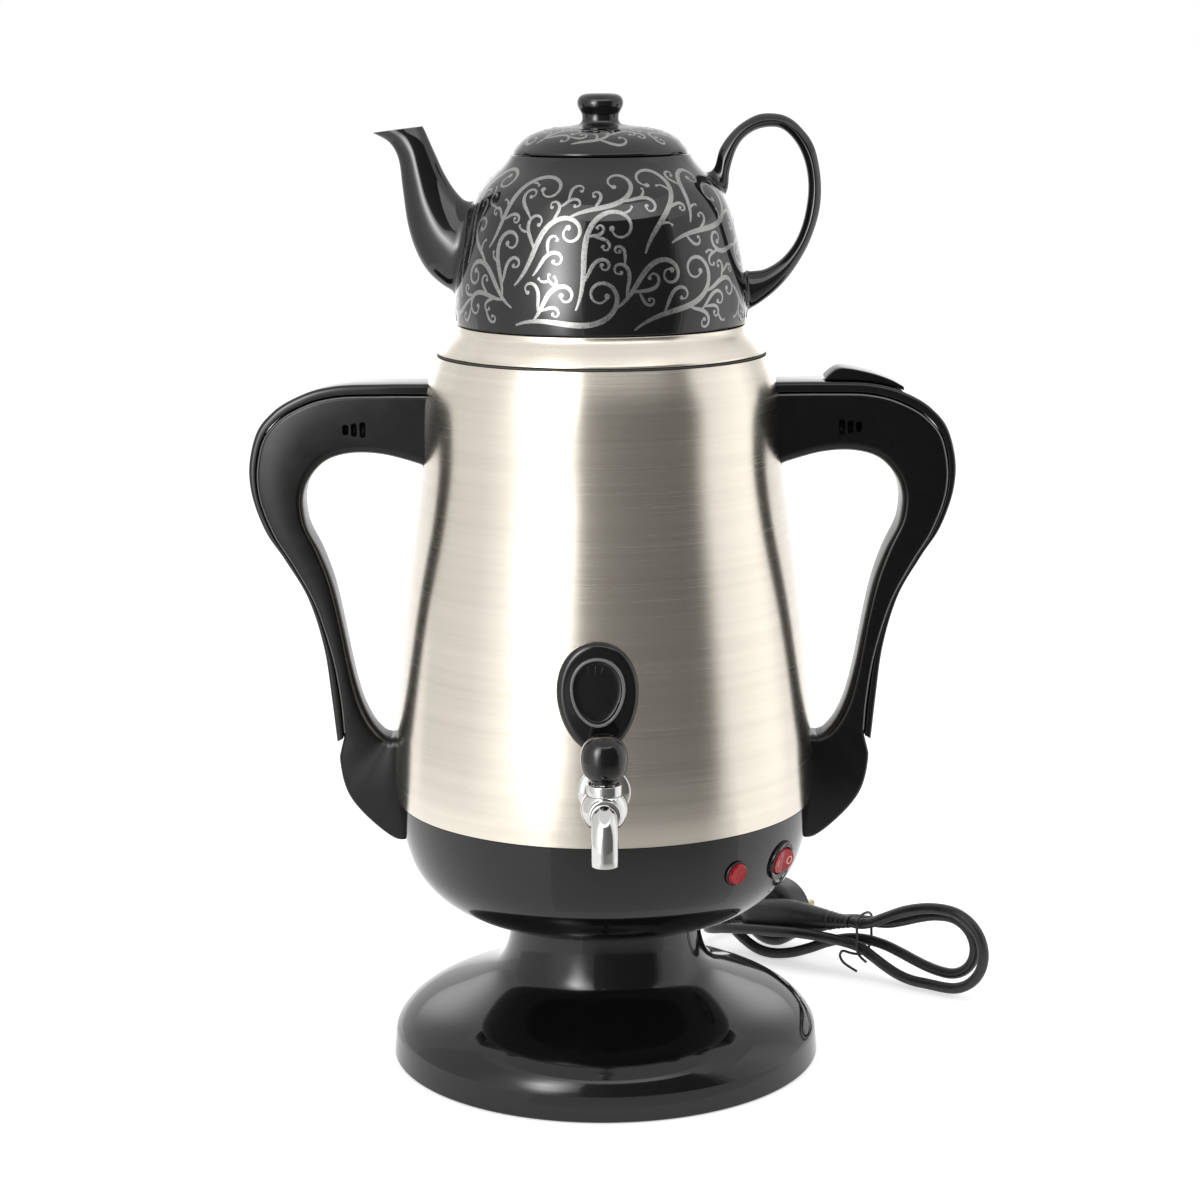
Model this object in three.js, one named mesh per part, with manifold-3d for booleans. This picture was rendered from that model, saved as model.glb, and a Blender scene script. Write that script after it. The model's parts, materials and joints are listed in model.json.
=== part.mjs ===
import * as THREE from "three";
import { mergeVertices } from "three/addons/utils/BufferGeometryUtils.js";
import Module from "manifold-3d";

const wasm = await Module();
wasm.setup();

// An electric samovar: a steel water tank on a black pedestal, a tap, two handles and a teapot on the lid.
// Millimetres. +Z is up, the tap points along -Y, and the origin is on the axis at the floor.

// Shared clearances and step counts
const gap = 0.3;
const overrun = 4;
const mergeTolerance = 0.0005;
const roundSteps = 32;
const turnedSteps = 16;
const smallSteps = 8;
const ballRows = 10;
const curveSteps = 3;
const shortCurveSteps = 2;

// Pedestal foot
const footRadius = 111;
const footHeight = 75;
const footWall = 3;
const footRimLift = 0.5;
const skirtHeight = 13.5;
const skirtTaper = 1.2;
const neckTopRadius = 51;
const footCurveShares = [
  [0.959, 0.307],
  [0.811, 0.413],
  [0.577, 0.533],
  [0.505, 0.627],
  [0.432, 0.773],
];
const footPlateWall = 3;

// Bowl under the tank
const bowlInset = 0.4;
const bowlHeight = 63.3;
const bowlWall = 3;
const bowlFloorRadius = 52;
const bowlCurveShares = [
  [0.804, 0.074],
  [0.925, 0.438],
  [0.986, 0.706],
];
const spigotHeight = 6;
const spigotWall = 2;

// Steel tank shell: heights are shares of its height, and bulges run from its mouth to its widest radius
const shellHeight = 227.45;
const shellRadius = 107.4;
const shellMouthTurn = 3.8;
const lidInset = 0.5;
const shellWall = 0.8;
const shellOutlineShares = [
  [0, 0.98],
  [0.05, 1],
  [0.14, 0.975],
  [0.21, 0.917],
  [0.444, 0.685],
  [0.673, 0.402],
  [0.76, 0.305],
  [0.897, 0.253],
  [0.936, 0.187],
  [0.97, 0.094],
  [1, 0],
];
const dishRise = 9;
const dishDepth = 8;
const dishWall = 1.2;

// Lid ring that carries the teapot
const sealThickness = 0.8;
const sealWidth = 2.8;
const lidHeight = 13.85;
const lidRimHeight = 0.7;
const lidTopRadius = 73.6;
const lidSlopeReach = 9.2;
const lidWall = 1;
const lidSeatWidth = 12;
const lidRecess = 3;
const lidCollarPlay = 1.5;
const lidCollarDepth = 10.5;
const steamHoleRadius = 32;
const lidCurveShares = [
  [0.64, 0.415],
  [0.152, 0.726],
  [0.02, 0.83],
];

// Teapot
const potRadius = 72.6;
const potSeatMargin = 1;
const potHeight = 83.1;
const potWall = 4;
const potFloor = 5;
const potFootWidth = 6.6;
const potFootRecess = 2;
const potRimRadius = 45;
const potMouthRadius = 36;
const potCurveShares = [
  [1.033, 0.218],
  [0.944, 0.519],
  [0.895, 0.771],
  [0.744, 0.874],
  [0.654, 0.94],
];
const spoutReach = 40.5;
const spoutRise = 97.4;
const spoutWidth = 31;
const spoutWall = 2.6;
// Each row: reach and rise of the under edge, reach and rise of the upper edge, width
const spoutShares = [
  [-0.4, 0.17, -0.6, 0.58, 0.98],
  [0.02, 0.163, -0.311, 0.592, 1],
  [0.242, 0.22, -0.2, 0.607, 0.93],
  [0.393, 0.292, -0.101, 0.632, 0.84],
  [0.516, 0.399, 0.01, 0.685, 0.74],
  [0.593, 0.522, 0.125, 0.765, 0.64],
  [0.644, 0.696, 0.22, 0.853, 0.54],
  [0.686, 0.838, 0.296, 0.925, 0.46],
  [0.783, 0.915, 0.343, 0.971, 0.42],
  [1, 0.969, 0.38, 1, 0.4],
];
const spoutSides = 10;
const spoutRidgeShare = 0.82;
const strainerHoleRadius = 2.2;
const strainerRingRadius = 7;
const strainerRise = 37;
const strainerHoles = 5;
const strainerDepthShare = 0.55;
const potHandleReach = 36.8;
const potHandleRise = 102.8;
const potHandleWidth = 9.6;
// Each row: reach and rise of the outer edge, reach and rise of the inner edge, width
const potHandleShares = [
  [-0.6, 0.69, -0.52, 0.57, 1.1],
  [-0.44, 0.745, -0.27, 0.625, 1.08],
  [-0.37, 0.83, -0.228, 0.73, 1],
  [-0.179, 0.922, -0.122, 0.843, 1],
  [0.079, 0.985, 0.065, 0.91, 1],
  [0.293, 1, 0.293, 0.933, 1],
  [0.535, 0.984, 0.497, 0.918, 1],
  [0.739, 0.927, 0.688, 0.842, 1],
  [0.916, 0.832, 0.796, 0.741, 1],
  [1, 0.684, 0.826, 0.631, 1],
  [0.992, 0.55, 0.783, 0.512, 1],
  [0.886, 0.411, 0.682, 0.404, 1.03],
  [0.698, 0.28, 0.508, 0.314, 1.08],
  [0.443, 0.164, 0.277, 0.257, 1.15],
  [0.09, 0.068, 0.063, 0.243, 1.25],
  [-0.179, 0.04, -0.234, 0.235, 1.25],
];
const potHandleSides = 8;

// Teapot lid
const potLidHeight = 29.6;
const potLidRadius = 43.8;
const potLidWall = 3.4;
const potLidFlangeRadius = 34.8;
const potLidFlangeDepth = 7;
const potLidRimHeight = 1.5;
const potLidSteps = 24;
const knobBaseRadius = 11;
const knobWaistRadius = 9.2;
const knobRadius = 11.8;
const knobTopRadius = 7.5;
// Each row: height of the dome's and the knob's points
const potLidDomeShares = [
  [0.85, 0.41],
  [0.46, 0.448],
];
const knobHeightShares = [0.49, 0.62, 0.7, 0.77, 0.87, 0.95, 1];
const knobRadiusShares = [1, 0, 0.08, 0.75, 1, 0.7];
const ventHoleRadius = 1.6;
const ventHoleReach = 25;

// Side handles, one on each side of the tank
const handleReach = 70.2;
const handleTopDrop = 13.85;
const handleFootDrop = 21.7;
const handleWidth = 28;
const handleRounding = 5;
const handleRoundShare = 0.4;
const handleInlet = 9;
// Each row: reach and rise of the outer edge, reach and rise of the inner edge, width
const handleShares = [
  [0.051, 1, 0.051, 0.849, 1],
  [0.393, 0.996, 0.308, 0.85, 1],
  [0.607, 0.979, 0.464, 0.833, 1],
  [0.821, 0.942, 0.575, 0.796, 0.99],
  [0.946, 0.894, 0.615, 0.764, 0.97],
  [1, 0.828, 0.621, 0.735, 0.95],
  [0.994, 0.773, 0.601, 0.697, 0.92],
  [0.906, 0.688, 0.507, 0.637, 0.87],
  [0.764, 0.62, 0.422, 0.565, 0.83],
  [0.6, 0.531, 0.355, 0.472, 0.79],
  [0.499, 0.421, 0.301, 0.385, 0.76],
  [0.454, 0.31, 0.238, 0.31, 0.74],
  [0.422, 0.217, 0.165, 0.261, 0.74],
  [0.386, 0.132, 0.087, 0.232, 0.76],
  [0.315, 0.083, 0.037, 0.225, 0.8],
  [0.017, 0, -0.001, 0.225, 0.86],
];
const handleStripRows = 14;
// The handle's top end starts this far inside the tank's top radius and is cut back to the tank
const handleTopInlet = 2;
const handleTopEndShare = 0.814;
const stripThickness = 5;
const stripEndShare = 0.7;
const slotShares = [1, 0.84, 0.66];
const slotHeight = 7;
const slotWidth = 2.2;
const slotDepth = 1.4;
const slotPitch = 4.3;
const slotReach = 12.6;
const slotDrop = 22.6;
const thumbRestWidth = 18;
const thumbRestLength = 37.8;
const thumbRestHeight = 6.5;
const thumbRestReach = 6;
// Each row: along the length and up the height
const thumbRestShares = [
  [0, 0.5],
  [0.145, 1],
  [0.45, 0.76],
  [0.84, 0.06],
  [1, -0.28],
  [1, -1.6],
  [0, -1.2],
];

// Screws that hold the handles, with their washers
const screwRadius = 2;
const screwLength = 17;
const screwHeadRadius = 3.8;
const screwHeadHeight = 2.2;
const screwHoleDepth = 15;
const screwDomeShares = [0.55, 0.4];
const washerRadius = 4.6;
const washerThickness = 1;
const upperScrewDrop = 18.6;
const lowerScrewRise = 46;

// Front badge
const badgeOffset = -3;
const badgeRise = 45;
const badgeHalfWidth = 19.6;
const badgeHalfHeight = 26.6;
const badgeThickness = 3.6;
const badgeBevel = 2.8;
const badgeRingRise = 3;
const badgeRingHalfWidth = 13.6;
const badgeRingHalfHeight = 17;
const badgeRingWidth = 2.3;
const badgeRingRelief = 1;
const badgeEggShare = 0.1;
const badgeSteps = 24;

// Tap
const tapRise = 29.1;
const tapReach = 33;
const tapBallRadius = 11.2;
const tapShankRadius = 6;
const tapBoreRadius = 3.5;
const tapFlangeRadius = 12.8;
const tapFlangeThickness = 3;
const tapSealThickness = 1.5;
const tapSealRadius = 11;
const tapNutRadius = 10.5;
const tapNutThickness = 5;
const tapShankInside = 11;
const tapBonnetRadius = 8.3;
const tapBonnetRise = 12.4;
const tapBonnetFoot = 6;
const valveRadius = 5.2;
const valveDepth = 6.5;
const valveStemRise = 18;
const tapKnobRadius = 11.1;
const tapKnobHeight = 23;
const tapKnobNeckRadius = 5.4;
const tapKnobNeckHeight = 1.6;
// Each row: radius and height on the knob's curve
const tapKnobShares = [
  [0.8, 0],
  [0.96, 0.2],
  [1.08, 0.5],
  [0.9, 0.68],
  [0.66, 1],
];
const flangeFaceShare = 0.72;
const tapSpoutRadius = 6.3;
const tapSpoutReach = 22;
const tapSpoutDrop = 21;
const tapSpoutBend = 12;
const tapSpoutWall = 1.6;
const tapCollarRadius = 7.6;
const tapCollarLength = 4;

// Lamp and switch on the bowl
const lampAzimuth = -51.6;
const lampRise = 43.2;
const lampRadius = 6.9;
const lampLensRadius = 5.2;
const lampLensRise = 2.2;
const lampBodyRadius = 4.9;
const lampBodyLength = 16;
const lampNutRadius = 8;
const lampNutThickness = 3;
const switchAzimuth = -31.6;
const switchRise = 41.7;
const switchRadius = 11.4;
const switchWellRadius = 9.3;
const switchBodyRadius = 9.9;
const switchBodyLength = 17;
const switchWellDepth = 12;
const rockerRadius = 8.9;
const rockerPivotDepth = 3.2;
const rockerCrown = 4.6;
const rockerFoot = 4.5;
const rockerTilt = 9;
const panelSink = 1;
const panelRise = 1.7;
const bezelEdgeShare = 0.6;
const lampFaceShare = 0.86;
const lampBoreShare = 0.7;
const switchFaceShare = 0.92;

// Heater parts in the bowl
const studRadius = 3;
const studNutRadius = 5.8;
const studNutThickness = 5;
const studEndBelow = 12;
const elementRingRadius = 52;
const elementTubeRadius = 3.5;
const elementSides = 6;
const elementSteps = 16;
const elementOpening = 40;
const elementTailDrop = 14;
const thermostatRadius = 9;
const thermostatHeight = 7;
const thermostatFootShare = 0.7;
const thermostatReach = 24;
const fuseRadius = 3.2;
const fuseLength = 18;
const terminalLength = 30;
const terminalWidth = 14;
const terminalHeight = 12;
const terminalReach = 42;

// Base plate, rubber pads and screws
const plateThickness = 3;
const padRadius = 8;
const padThickness = 2.2;
const padReach = 90;
const padCount = 4;
const plateScrewReach = 82;
const plateScrewCount = 3;
const plateScrewRadius = 1.7;
const plateScrewLength = 14;
const plateScrewHeadRadius = 3.6;
const plateScrewHeadHeight = 1.4;
const bossRadius = 5;

// Mains cord: gland on the bowl, then a free lead, a tied hank and the plug
const cordDiameter = 6;
const glandRise = 36.7;
const glandFlangeRadius = 9;
const glandFlangeThickness = 2;
const glandRootRadius = 6;
const glandTipRadius = 4.2;
const glandLength = 32;
const glandSides = 10;
const glandGrooves = 4;
const glandGrooveDepth = 0.9;
const glandThreadRadius = 5.2;
const glandThreadLength = 11;
const glandNutRadius = 8;
const glandNutThickness = 3;
const leadSides = 6;
const leadSteps = 10;
const hankSides = 6;
const hankStep = 9;

const scene = new THREE.Group();

// Solids

// A geometry as a closed solid with its faces pointing out
function toSolid(geometry) {
  const loose = geometry.index ? geometry.toNonIndexed() : geometry;
  const bare = new THREE.BufferGeometry();
  bare.setAttribute("position", loose.getAttribute("position").clone());
  const merged = mergeVertices(bare, mergeTolerance);
  const corners = merged.index.array;
  const kept = [];
  for (let i = 0; i < corners.length; i += 3) {
    const [a, b, c] = [corners[i], corners[i + 1], corners[i + 2]];
    if (a !== b && b !== c && c !== a) kept.push(a, b, c);
  }
  const build = (triangles) =>
    new wasm.Manifold(
      new wasm.Mesh({
        numProp: 3,
        vertProperties: new Float32Array(merged.attributes.position.array),
        triVerts: new Uint32Array(triangles),
      }),
    );
  const solid = build(kept);
  return solid.volume() < 0 ? build(kept.reverse()) : solid;
}

function toGeometry(solid) {
  const mesh = solid.getMesh();
  const geometry = new THREE.BufferGeometry();
  geometry.setAttribute("position", new THREE.BufferAttribute(mesh.vertProperties, 3));
  geometry.setIndex(new THREE.BufferAttribute(mesh.triVerts, 1));
  return geometry;
}

function join(...shapes) {
  return toGeometry(shapes.map(toSolid).reduce((whole, next) => whole.add(next)));
}

function cut(shape, ...cutters) {
  const start = toSolid(shape);
  return toGeometry(cutters.reduce((left, cutter) => left.subtract(toSolid(cutter)), start));
}

function common(shape, other) {
  return toGeometry(toSolid(shape).intersect(toSolid(other)));
}

// Outlines: points of radius and height, from the bottom up

function outlineOf(pairs) {
  return pairs.map(([radius, height]) => new THREE.Vector2(radius, height));
}

// Curves through start, control, end, control, end
function curved(pairs, steps) {
  const points = outlineOf(pairs);
  const outline = [points[0]];
  for (let i = 0; i + 2 < points.length; i += 2) {
    const arc = new THREE.QuadraticBezierCurve(points[i], points[i + 1], points[i + 2]);
    outline.push(...arc.getPoints(steps).slice(1));
  }
  return outline;
}

// The same outline moved along its normals, inwards for a positive distance
function inset(outline, distance) {
  return outline.map((point, i) => {
    const before = outline[Math.max(i - 1, 0)];
    const after = outline[Math.min(i + 1, outline.length - 1)];
    const along = after.clone().sub(before).normalize();
    return new THREE.Vector2(point.x - along.y * distance, point.y + along.x * distance);
  });
}

// Every second point of an outline with its ends, for the hidden side of a thick wall
function coarse(outline) {
  return outline.filter((_, i) => i % 2 === 0 || i === outline.length - 1);
}

function radiusAt(outline, height) {
  for (let i = 1; i < outline.length; i += 1) {
    const [low, high] = [outline[i - 1], outline[i]];
    if (height <= high.y || i === outline.length - 1) {
      return low.x + ((high.x - low.x) * (height - low.y)) / (high.y - low.y);
    }
  }
  return outline[0].x;
}

function between(outline, low, high) {
  const inside = outline.filter((point) => point.y > low && point.y < high);
  const first = new THREE.Vector2(radiusAt(outline, low), low);
  const last = new THREE.Vector2(radiusAt(outline, high), high);
  return [first, ...inside, last];
}

// A solid of revolution about Z, closed to the axis at both ends
function revolve(outline, steps = roundSteps) {
  const ends = [outline[0], outline[outline.length - 1]];
  const closed = [...outline];
  if (ends[0].x > 0) closed.unshift(new THREE.Vector2(0, ends[0].y));
  if (ends[1].x > 0) closed.push(new THREE.Vector2(0, ends[1].y));
  return new THREE.LatheGeometry(closed, steps).rotateX(Math.PI / 2);
}

function disc(radius, low, high, steps = roundSteps) {
  return revolve(outlineOf([[radius, low], [radius, high]]), steps);
}

function ring(inner, outer, low, high, steps = roundSteps) {
  const section = outlineOf([[inner, low], [outer, low], [outer, high], [inner, high], [inner, low]]);
  return new THREE.LatheGeometry(section, steps).rotateX(Math.PI / 2);
}

function hexagon(acrossCorners, hole, low, high) {
  return cut(
    new THREE.CylinderGeometry(acrossCorners, acrossCorners, high - low, 6)
      .rotateX(Math.PI / 2)
      .translate(0, 0, (low + high) / 2),
    disc(hole, low - overrun, high + overrun, turnedSteps),
  );
}

// A skin through rings of points, closed by a flat cap at both ends
function loft(rings) {
  const corners = rings[0].length;
  const positions = rings.flat().flatMap((point) => [point.x, point.y, point.z]);
  const faces = [];
  for (let i = 0; i + 1 < rings.length; i += 1) {
    for (let j = 0; j < corners; j += 1) {
      const [a, b] = [i * corners + j, i * corners + ((j + 1) % corners)];
      faces.push(a, b, b + corners, a, b + corners, a + corners);
    }
  }
  const last = (rings.length - 1) * corners;
  for (let j = 1; j + 1 < corners; j += 1) {
    faces.push(0, j + 1, j);
    faces.push(last, last + j, last + j + 1);
  }
  const geometry = new THREE.BufferGeometry();
  geometry.setAttribute("position", new THREE.Float32BufferAttribute(positions, 3));
  geometry.setIndex(faces);
  return geometry;
}

// A round tube along points, with rings that turn as little as the path allows
function tubeAlong(points, radius, sides) {
  let side = null;
  const rings = points.map((point, i) => {
    const before = points[Math.max(i - 1, 0)];
    const after = points[Math.min(i + 1, points.length - 1)];
    const along = after.clone().sub(before).normalize();
    if (!side) side = new THREE.Vector3(1 - Math.abs(along.x), Math.abs(along.x), 0);
    side.addScaledVector(along, -side.dot(along)).normalize();
    const other = new THREE.Vector3().crossVectors(along, side);
    return Array.from({ length: sides }, (_, j) => {
      const turn = (2 * Math.PI * j) / sides;
      return point
        .clone()
        .addScaledVector(side, radius * Math.cos(turn))
        .addScaledVector(other, radius * Math.sin(turn));
    });
  });
  return loft(rings);
}

// Materials
const steel = new THREE.MeshStandardMaterial({ color: 0xb9b5ae, roughness: 0.35, metalness: 1 });
const glossBlack = new THREE.MeshStandardMaterial({ color: 0x0c0c0d, roughness: 0.15, metalness: 0 });
const satinBlack = new THREE.MeshStandardMaterial({ color: 0x111112, roughness: 0.4, metalness: 0 });
const ceramic = new THREE.MeshStandardMaterial({ color: 0x0a0a0b, roughness: 0.08, metalness: 0 });
const chrome = new THREE.MeshStandardMaterial({ color: 0xd9dadb, roughness: 0.08, metalness: 1 });
const redClear = new THREE.MeshStandardMaterial({ color: 0xc01420, roughness: 0.2, metalness: 0 });
const rubber = new THREE.MeshStandardMaterial({ color: 0x151515, roughness: 0.8, metalness: 0 });
const silicone = new THREE.MeshStandardMaterial({ color: 0x4a4a4a, roughness: 0.7, metalness: 0 });
const zinc = new THREE.MeshStandardMaterial({ color: 0xa8a8a4, roughness: 0.4, metalness: 1 });
const brass = new THREE.MeshStandardMaterial({ color: 0xb59a5b, roughness: 0.35, metalness: 1 });
const cordBlack = new THREE.MeshStandardMaterial({ color: 0x131313, roughness: 0.5, metalness: 0 });

function add(name, geometry, material, group = scene) {
  const solid = toGeometry(toSolid(geometry));
  solid.computeVertexNormals();
  const mesh = new THREE.Mesh(solid, material);
  mesh.name = name;
  group.add(mesh);
  return mesh;
}

// Heights where the main pieces meet
const bowlBottom = footHeight + gap;
const bowlTop = bowlBottom + bowlHeight;
const shellBottom = bowlTop + gap;
const shellTop = shellBottom + shellHeight;
const sealBottom = shellTop + gap;
const lidBottom = sealBottom + sealThickness + gap;
const lidTop = lidBottom + lidHeight;
const potBottom = lidTop + gap;
const potTop = potBottom + potHeight;
const potLidBottom = potTop + gap;
const handleBottom = bowlTop - handleFootDrop;
const handleRise = shellTop - handleTopDrop - handleBottom;
const tapHeight = shellBottom + tapRise;
const badgeHeight = tapHeight + badgeRise;
const badgeRingHeight = badgeHeight + badgeRingRise;
const lampHeight = bowlBottom + lampRise;
const switchHeight = bowlBottom + switchRise;
const glandHeight = bowlBottom + glandRise;

// Radii that follow from the lid's seat for the pot, and from the tank
const lidRimRadius = lidTopRadius + lidSlopeReach;
const shellTopRadius = lidRimRadius + lidInset;
const shellMouthRadius = shellTopRadius - shellMouthTurn;
const lidCollarRadius = shellMouthRadius - lidCollarPlay;
const potFootRadius = lidTopRadius - potSeatMargin;
const bowlRadius = shellRadius - bowlInset;

// Outlines of the main pieces
const footOutline = [
  new THREE.Vector2(footRadius, footRimLift),
  ...curved(
    [
      [footRadius - skirtTaper, skirtHeight],
      ...footCurveShares.map(([radius, height]) => [radius * footRadius, height * footHeight]),
      [neckTopRadius, footHeight],
    ],
    curveSteps,
  ),
];
const footInnerOutline = coarse(inset(footOutline, footWall));
const bowlOutline = curved(
  [
    [bowlFloorRadius, bowlBottom],
    ...bowlCurveShares.map(([radius, height]) => [radius * bowlRadius, bowlBottom + height * bowlHeight]),
    [bowlRadius, bowlTop],
  ],
  curveSteps,
);
const shellOutline = shellOutlineShares.map(
  ([height, bulge]) =>
    new THREE.Vector2(
      shellTopRadius + bulge * (shellRadius - shellTopRadius),
      shellBottom + height * shellHeight,
    ),
);
const bodyOutline = [...bowlOutline, ...shellOutline];

// What clears the tank and bowl by the gap, for pieces that seat on them
function bodyEnvelope(clearance) {
  return revolve(inset(bodyOutline, -clearance));
}

// A place on a revolved outline: X runs round it, Y up it and Z out of it
function seatOn(outline, azimuth, height) {
  const angle = THREE.MathUtils.degToRad(azimuth);
  const slope = (radiusAt(outline, height + gap) - radiusAt(outline, height - gap)) / (2 * gap);
  const out = new THREE.Vector3(Math.cos(angle), Math.sin(angle), -slope).normalize();
  const round = new THREE.Vector3(-Math.sin(angle), Math.cos(angle), 0);
  const up = new THREE.Vector3().crossVectors(out, round);
  const radius = radiusAt(outline, height);
  const place = new THREE.Matrix4().makeBasis(round, up, out);
  return place.setPosition(radius * Math.cos(angle), radius * Math.sin(angle), height);
}

function groupAt(matrix) {
  const group = new THREE.Group();
  group.applyMatrix4(matrix);
  scene.add(group);
  return group;
}

// Screw with a domed head, its shaft pointing along +Z from the head's seat
function screw(headRadius, headHeight, shaftRadius, length) {
  const outline = outlineOf([
    [headRadius * screwDomeShares[0], -headHeight],
    [headRadius, -headHeight * screwDomeShares[1]],
    [headRadius, 0],
    [shaftRadius, 0],
    [shaftRadius, length],
  ]);
  return revolve(outline, smallSteps);
}

// Pedestal foot: a moulded shell, open below, with bosses for the plate screws
function aroundAxis(count, reach, startDegrees) {
  return Array.from({ length: count }, (_, i) => {
    const angle = THREE.MathUtils.degToRad(startDegrees + (360 * i) / count);
    return new THREE.Vector2(reach * Math.cos(angle), reach * Math.sin(angle));
  });
}
const bossPlaces = aroundAxis(plateScrewCount, plateScrewReach, 90);
const padPlaces = aroundAxis(padCount, padReach, 45);

function baseFoot() {
  const outer = revolve(footOutline);
  const inner = revolve([
    new THREE.Vector2(footRadius - footWall, -overrun),
    ...between(footInnerOutline, footRimLift, footHeight - footPlateWall),
  ]);
  const shell = cut(outer, inner);
  const bosses = bossPlaces.map(({ x, y }) =>
    common(disc(bossRadius, plateThickness + gap, footHeight, smallSteps).translate(x, y, 0), outer),
  );
  const pilots = bossPlaces.map(({ x, y }) =>
    disc(plateScrewRadius + gap, -overrun, plateScrewLength + plateThickness, smallSteps).translate(x, y, 0),
  );
  const studHole = disc(studRadius + gap, 0, footHeight + overrun, smallSteps);
  return cut(join(shell, ...bosses), ...pilots, studHole);
}
add("base_foot", baseFoot(), glossBlack);

// Base plate, let into the foot, with pockets for the pads and the screw heads
const plateRadius = radiusAt(footInnerOutline, plateThickness) - gap;
const headPocket = plateScrewHeadHeight + gap;
add(
  "base_plate",
  cut(
    disc(plateRadius, 0, plateThickness),
    ...padPlaces.map(({ x, y }) =>
      disc(padRadius + gap, -overrun, padThickness + gap, turnedSteps).translate(x, y, 0),
    ),
    ...bossPlaces.map(({ x, y }) =>
      disc(plateScrewHeadRadius + gap, -overrun, headPocket, smallSteps).translate(x, y, 0),
    ),
    ...bossPlaces.map(({ x, y }) =>
      disc(plateScrewRadius + gap, 0, plateThickness + overrun, smallSteps).translate(x, y, 0),
    ),
  ),
  satinBlack,
);
padPlaces.forEach(({ x, y }, i) => {
  const pad = add(`rubber_pad_${i + 1}`, disc(padRadius, 0, padThickness, turnedSteps), rubber);
  pad.position.set(x, y, 0);
});
bossPlaces.forEach(({ x, y }, i) => {
  const shape = screw(plateScrewHeadRadius, plateScrewHeadHeight - gap, plateScrewRadius, plateScrewLength);
  const mesh = add(`plate_screw_${i + 1}`, shape, zinc);
  mesh.position.set(x, y, plateScrewHeadHeight);
});

// Seats of what is fixed to the bowl
const lampSeat = seatOn(bowlOutline, lampAzimuth, lampHeight);
const switchSeat = seatOn(bowlOutline, switchAzimuth, switchHeight);
const glandSeat = seatOn(bowlOutline, 90, glandHeight);

function socketAt(seat, radius, floor) {
  return disc(radius + gap, floor - gap, switchBodyLength, turnedSteps).applyMatrix4(seat);
}

function holeAt(seat, radius) {
  return disc(radius + gap, -switchBodyLength, overrun, turnedSteps).applyMatrix4(seat);
}

// Bowl: open above, with a spigot inside the tank shell's lower edge
function bowlHousing() {
  const spigotRadius = radiusAt(inset(shellOutline, shellWall + gap), shellBottom);
  const spigotTop = bowlTop + spigotHeight;
  const outer = join(revolve(bowlOutline), disc(spigotRadius, bowlTop - spigotHeight, spigotTop));
  const cavity = revolve([
    ...between(inset(bowlOutline, bowlWall), bowlBottom + bowlWall, bowlTop - spigotHeight),
    new THREE.Vector2(spigotRadius - spigotWall, bowlTop),
    new THREE.Vector2(spigotRadius - spigotWall, spigotTop + overrun),
  ]);
  return cut(
    outer,
    cavity,
    disc(studRadius + gap, bowlBottom - overrun, bowlTop, smallSteps),
    socketAt(lampSeat, lampRadius, -panelSink),
    holeAt(lampSeat, lampBodyRadius),
    socketAt(switchSeat, switchRadius, -panelSink),
    holeAt(switchSeat, switchBodyRadius),
    socketAt(glandSeat, glandFlangeRadius, -panelSink),
    holeAt(glandSeat, glandThreadRadius),
  );
}
add("bowl_housing", bowlHousing(), glossBlack);

// Places where screws pass through the tank wall, seen from the right side
const screwHeights = {
  upper: handleBottom + handleRise - upperScrewDrop,
  lower: handleBottom + lowerScrewRise,
};

function wallHole(azimuth, height, radius) {
  return disc(radius + gap, -tapShankInside, overrun, turnedSteps).applyMatrix4(
    seatOn(shellOutline, azimuth, height),
  );
}

// Tank shell: drawn sheet, turned in at the mouth
function tankShell() {
  const innerOutline = inset(shellOutline, shellWall);
  const inside = revolve([
    new THREE.Vector2(radiusAt(innerOutline, shellBottom), shellBottom - overrun),
    ...between(innerOutline, shellBottom, shellTop - shellWall),
  ]);
  const mouth = disc(shellMouthRadius, shellTop - overrun, shellTop + overrun);
  const holes = Object.values(screwHeights).flatMap((height) => [
    wallHole(0, height, screwRadius),
    wallHole(180, height, screwRadius),
  ]);
  return cut(revolve(shellOutline), inside, mouth, wallHole(-90, tapHeight, tapShankRadius), ...holes);
}
add("tank_shell", tankShell(), steel);

// Dished tank bottom, with its rim turned up against the shell
const dishBottom = shellBottom + dishRise;
const dishOutline = inset(shellOutline, shellWall + gap);
add(
  "tank_bottom",
  cut(
    revolve(between(dishOutline, dishBottom, dishBottom + dishDepth)),
    revolve(between(inset(dishOutline, dishWall), dishBottom + dishWall, dishBottom + dishDepth + overrun)),
  ),
  steel,
);

// Stud from the tank bottom through the bowl and the foot, and its nut
const studBottom = footHeight - footPlateWall - studEndBelow;
add("centre_stud", disc(studRadius, studBottom, dishBottom - gap, smallSteps), zinc);
const nutTop = footHeight - footPlateWall - gap;
add("stud_nut", hexagon(studNutRadius, studRadius + gap, nutTop - studNutThickness, nutTop), zinc);

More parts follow.
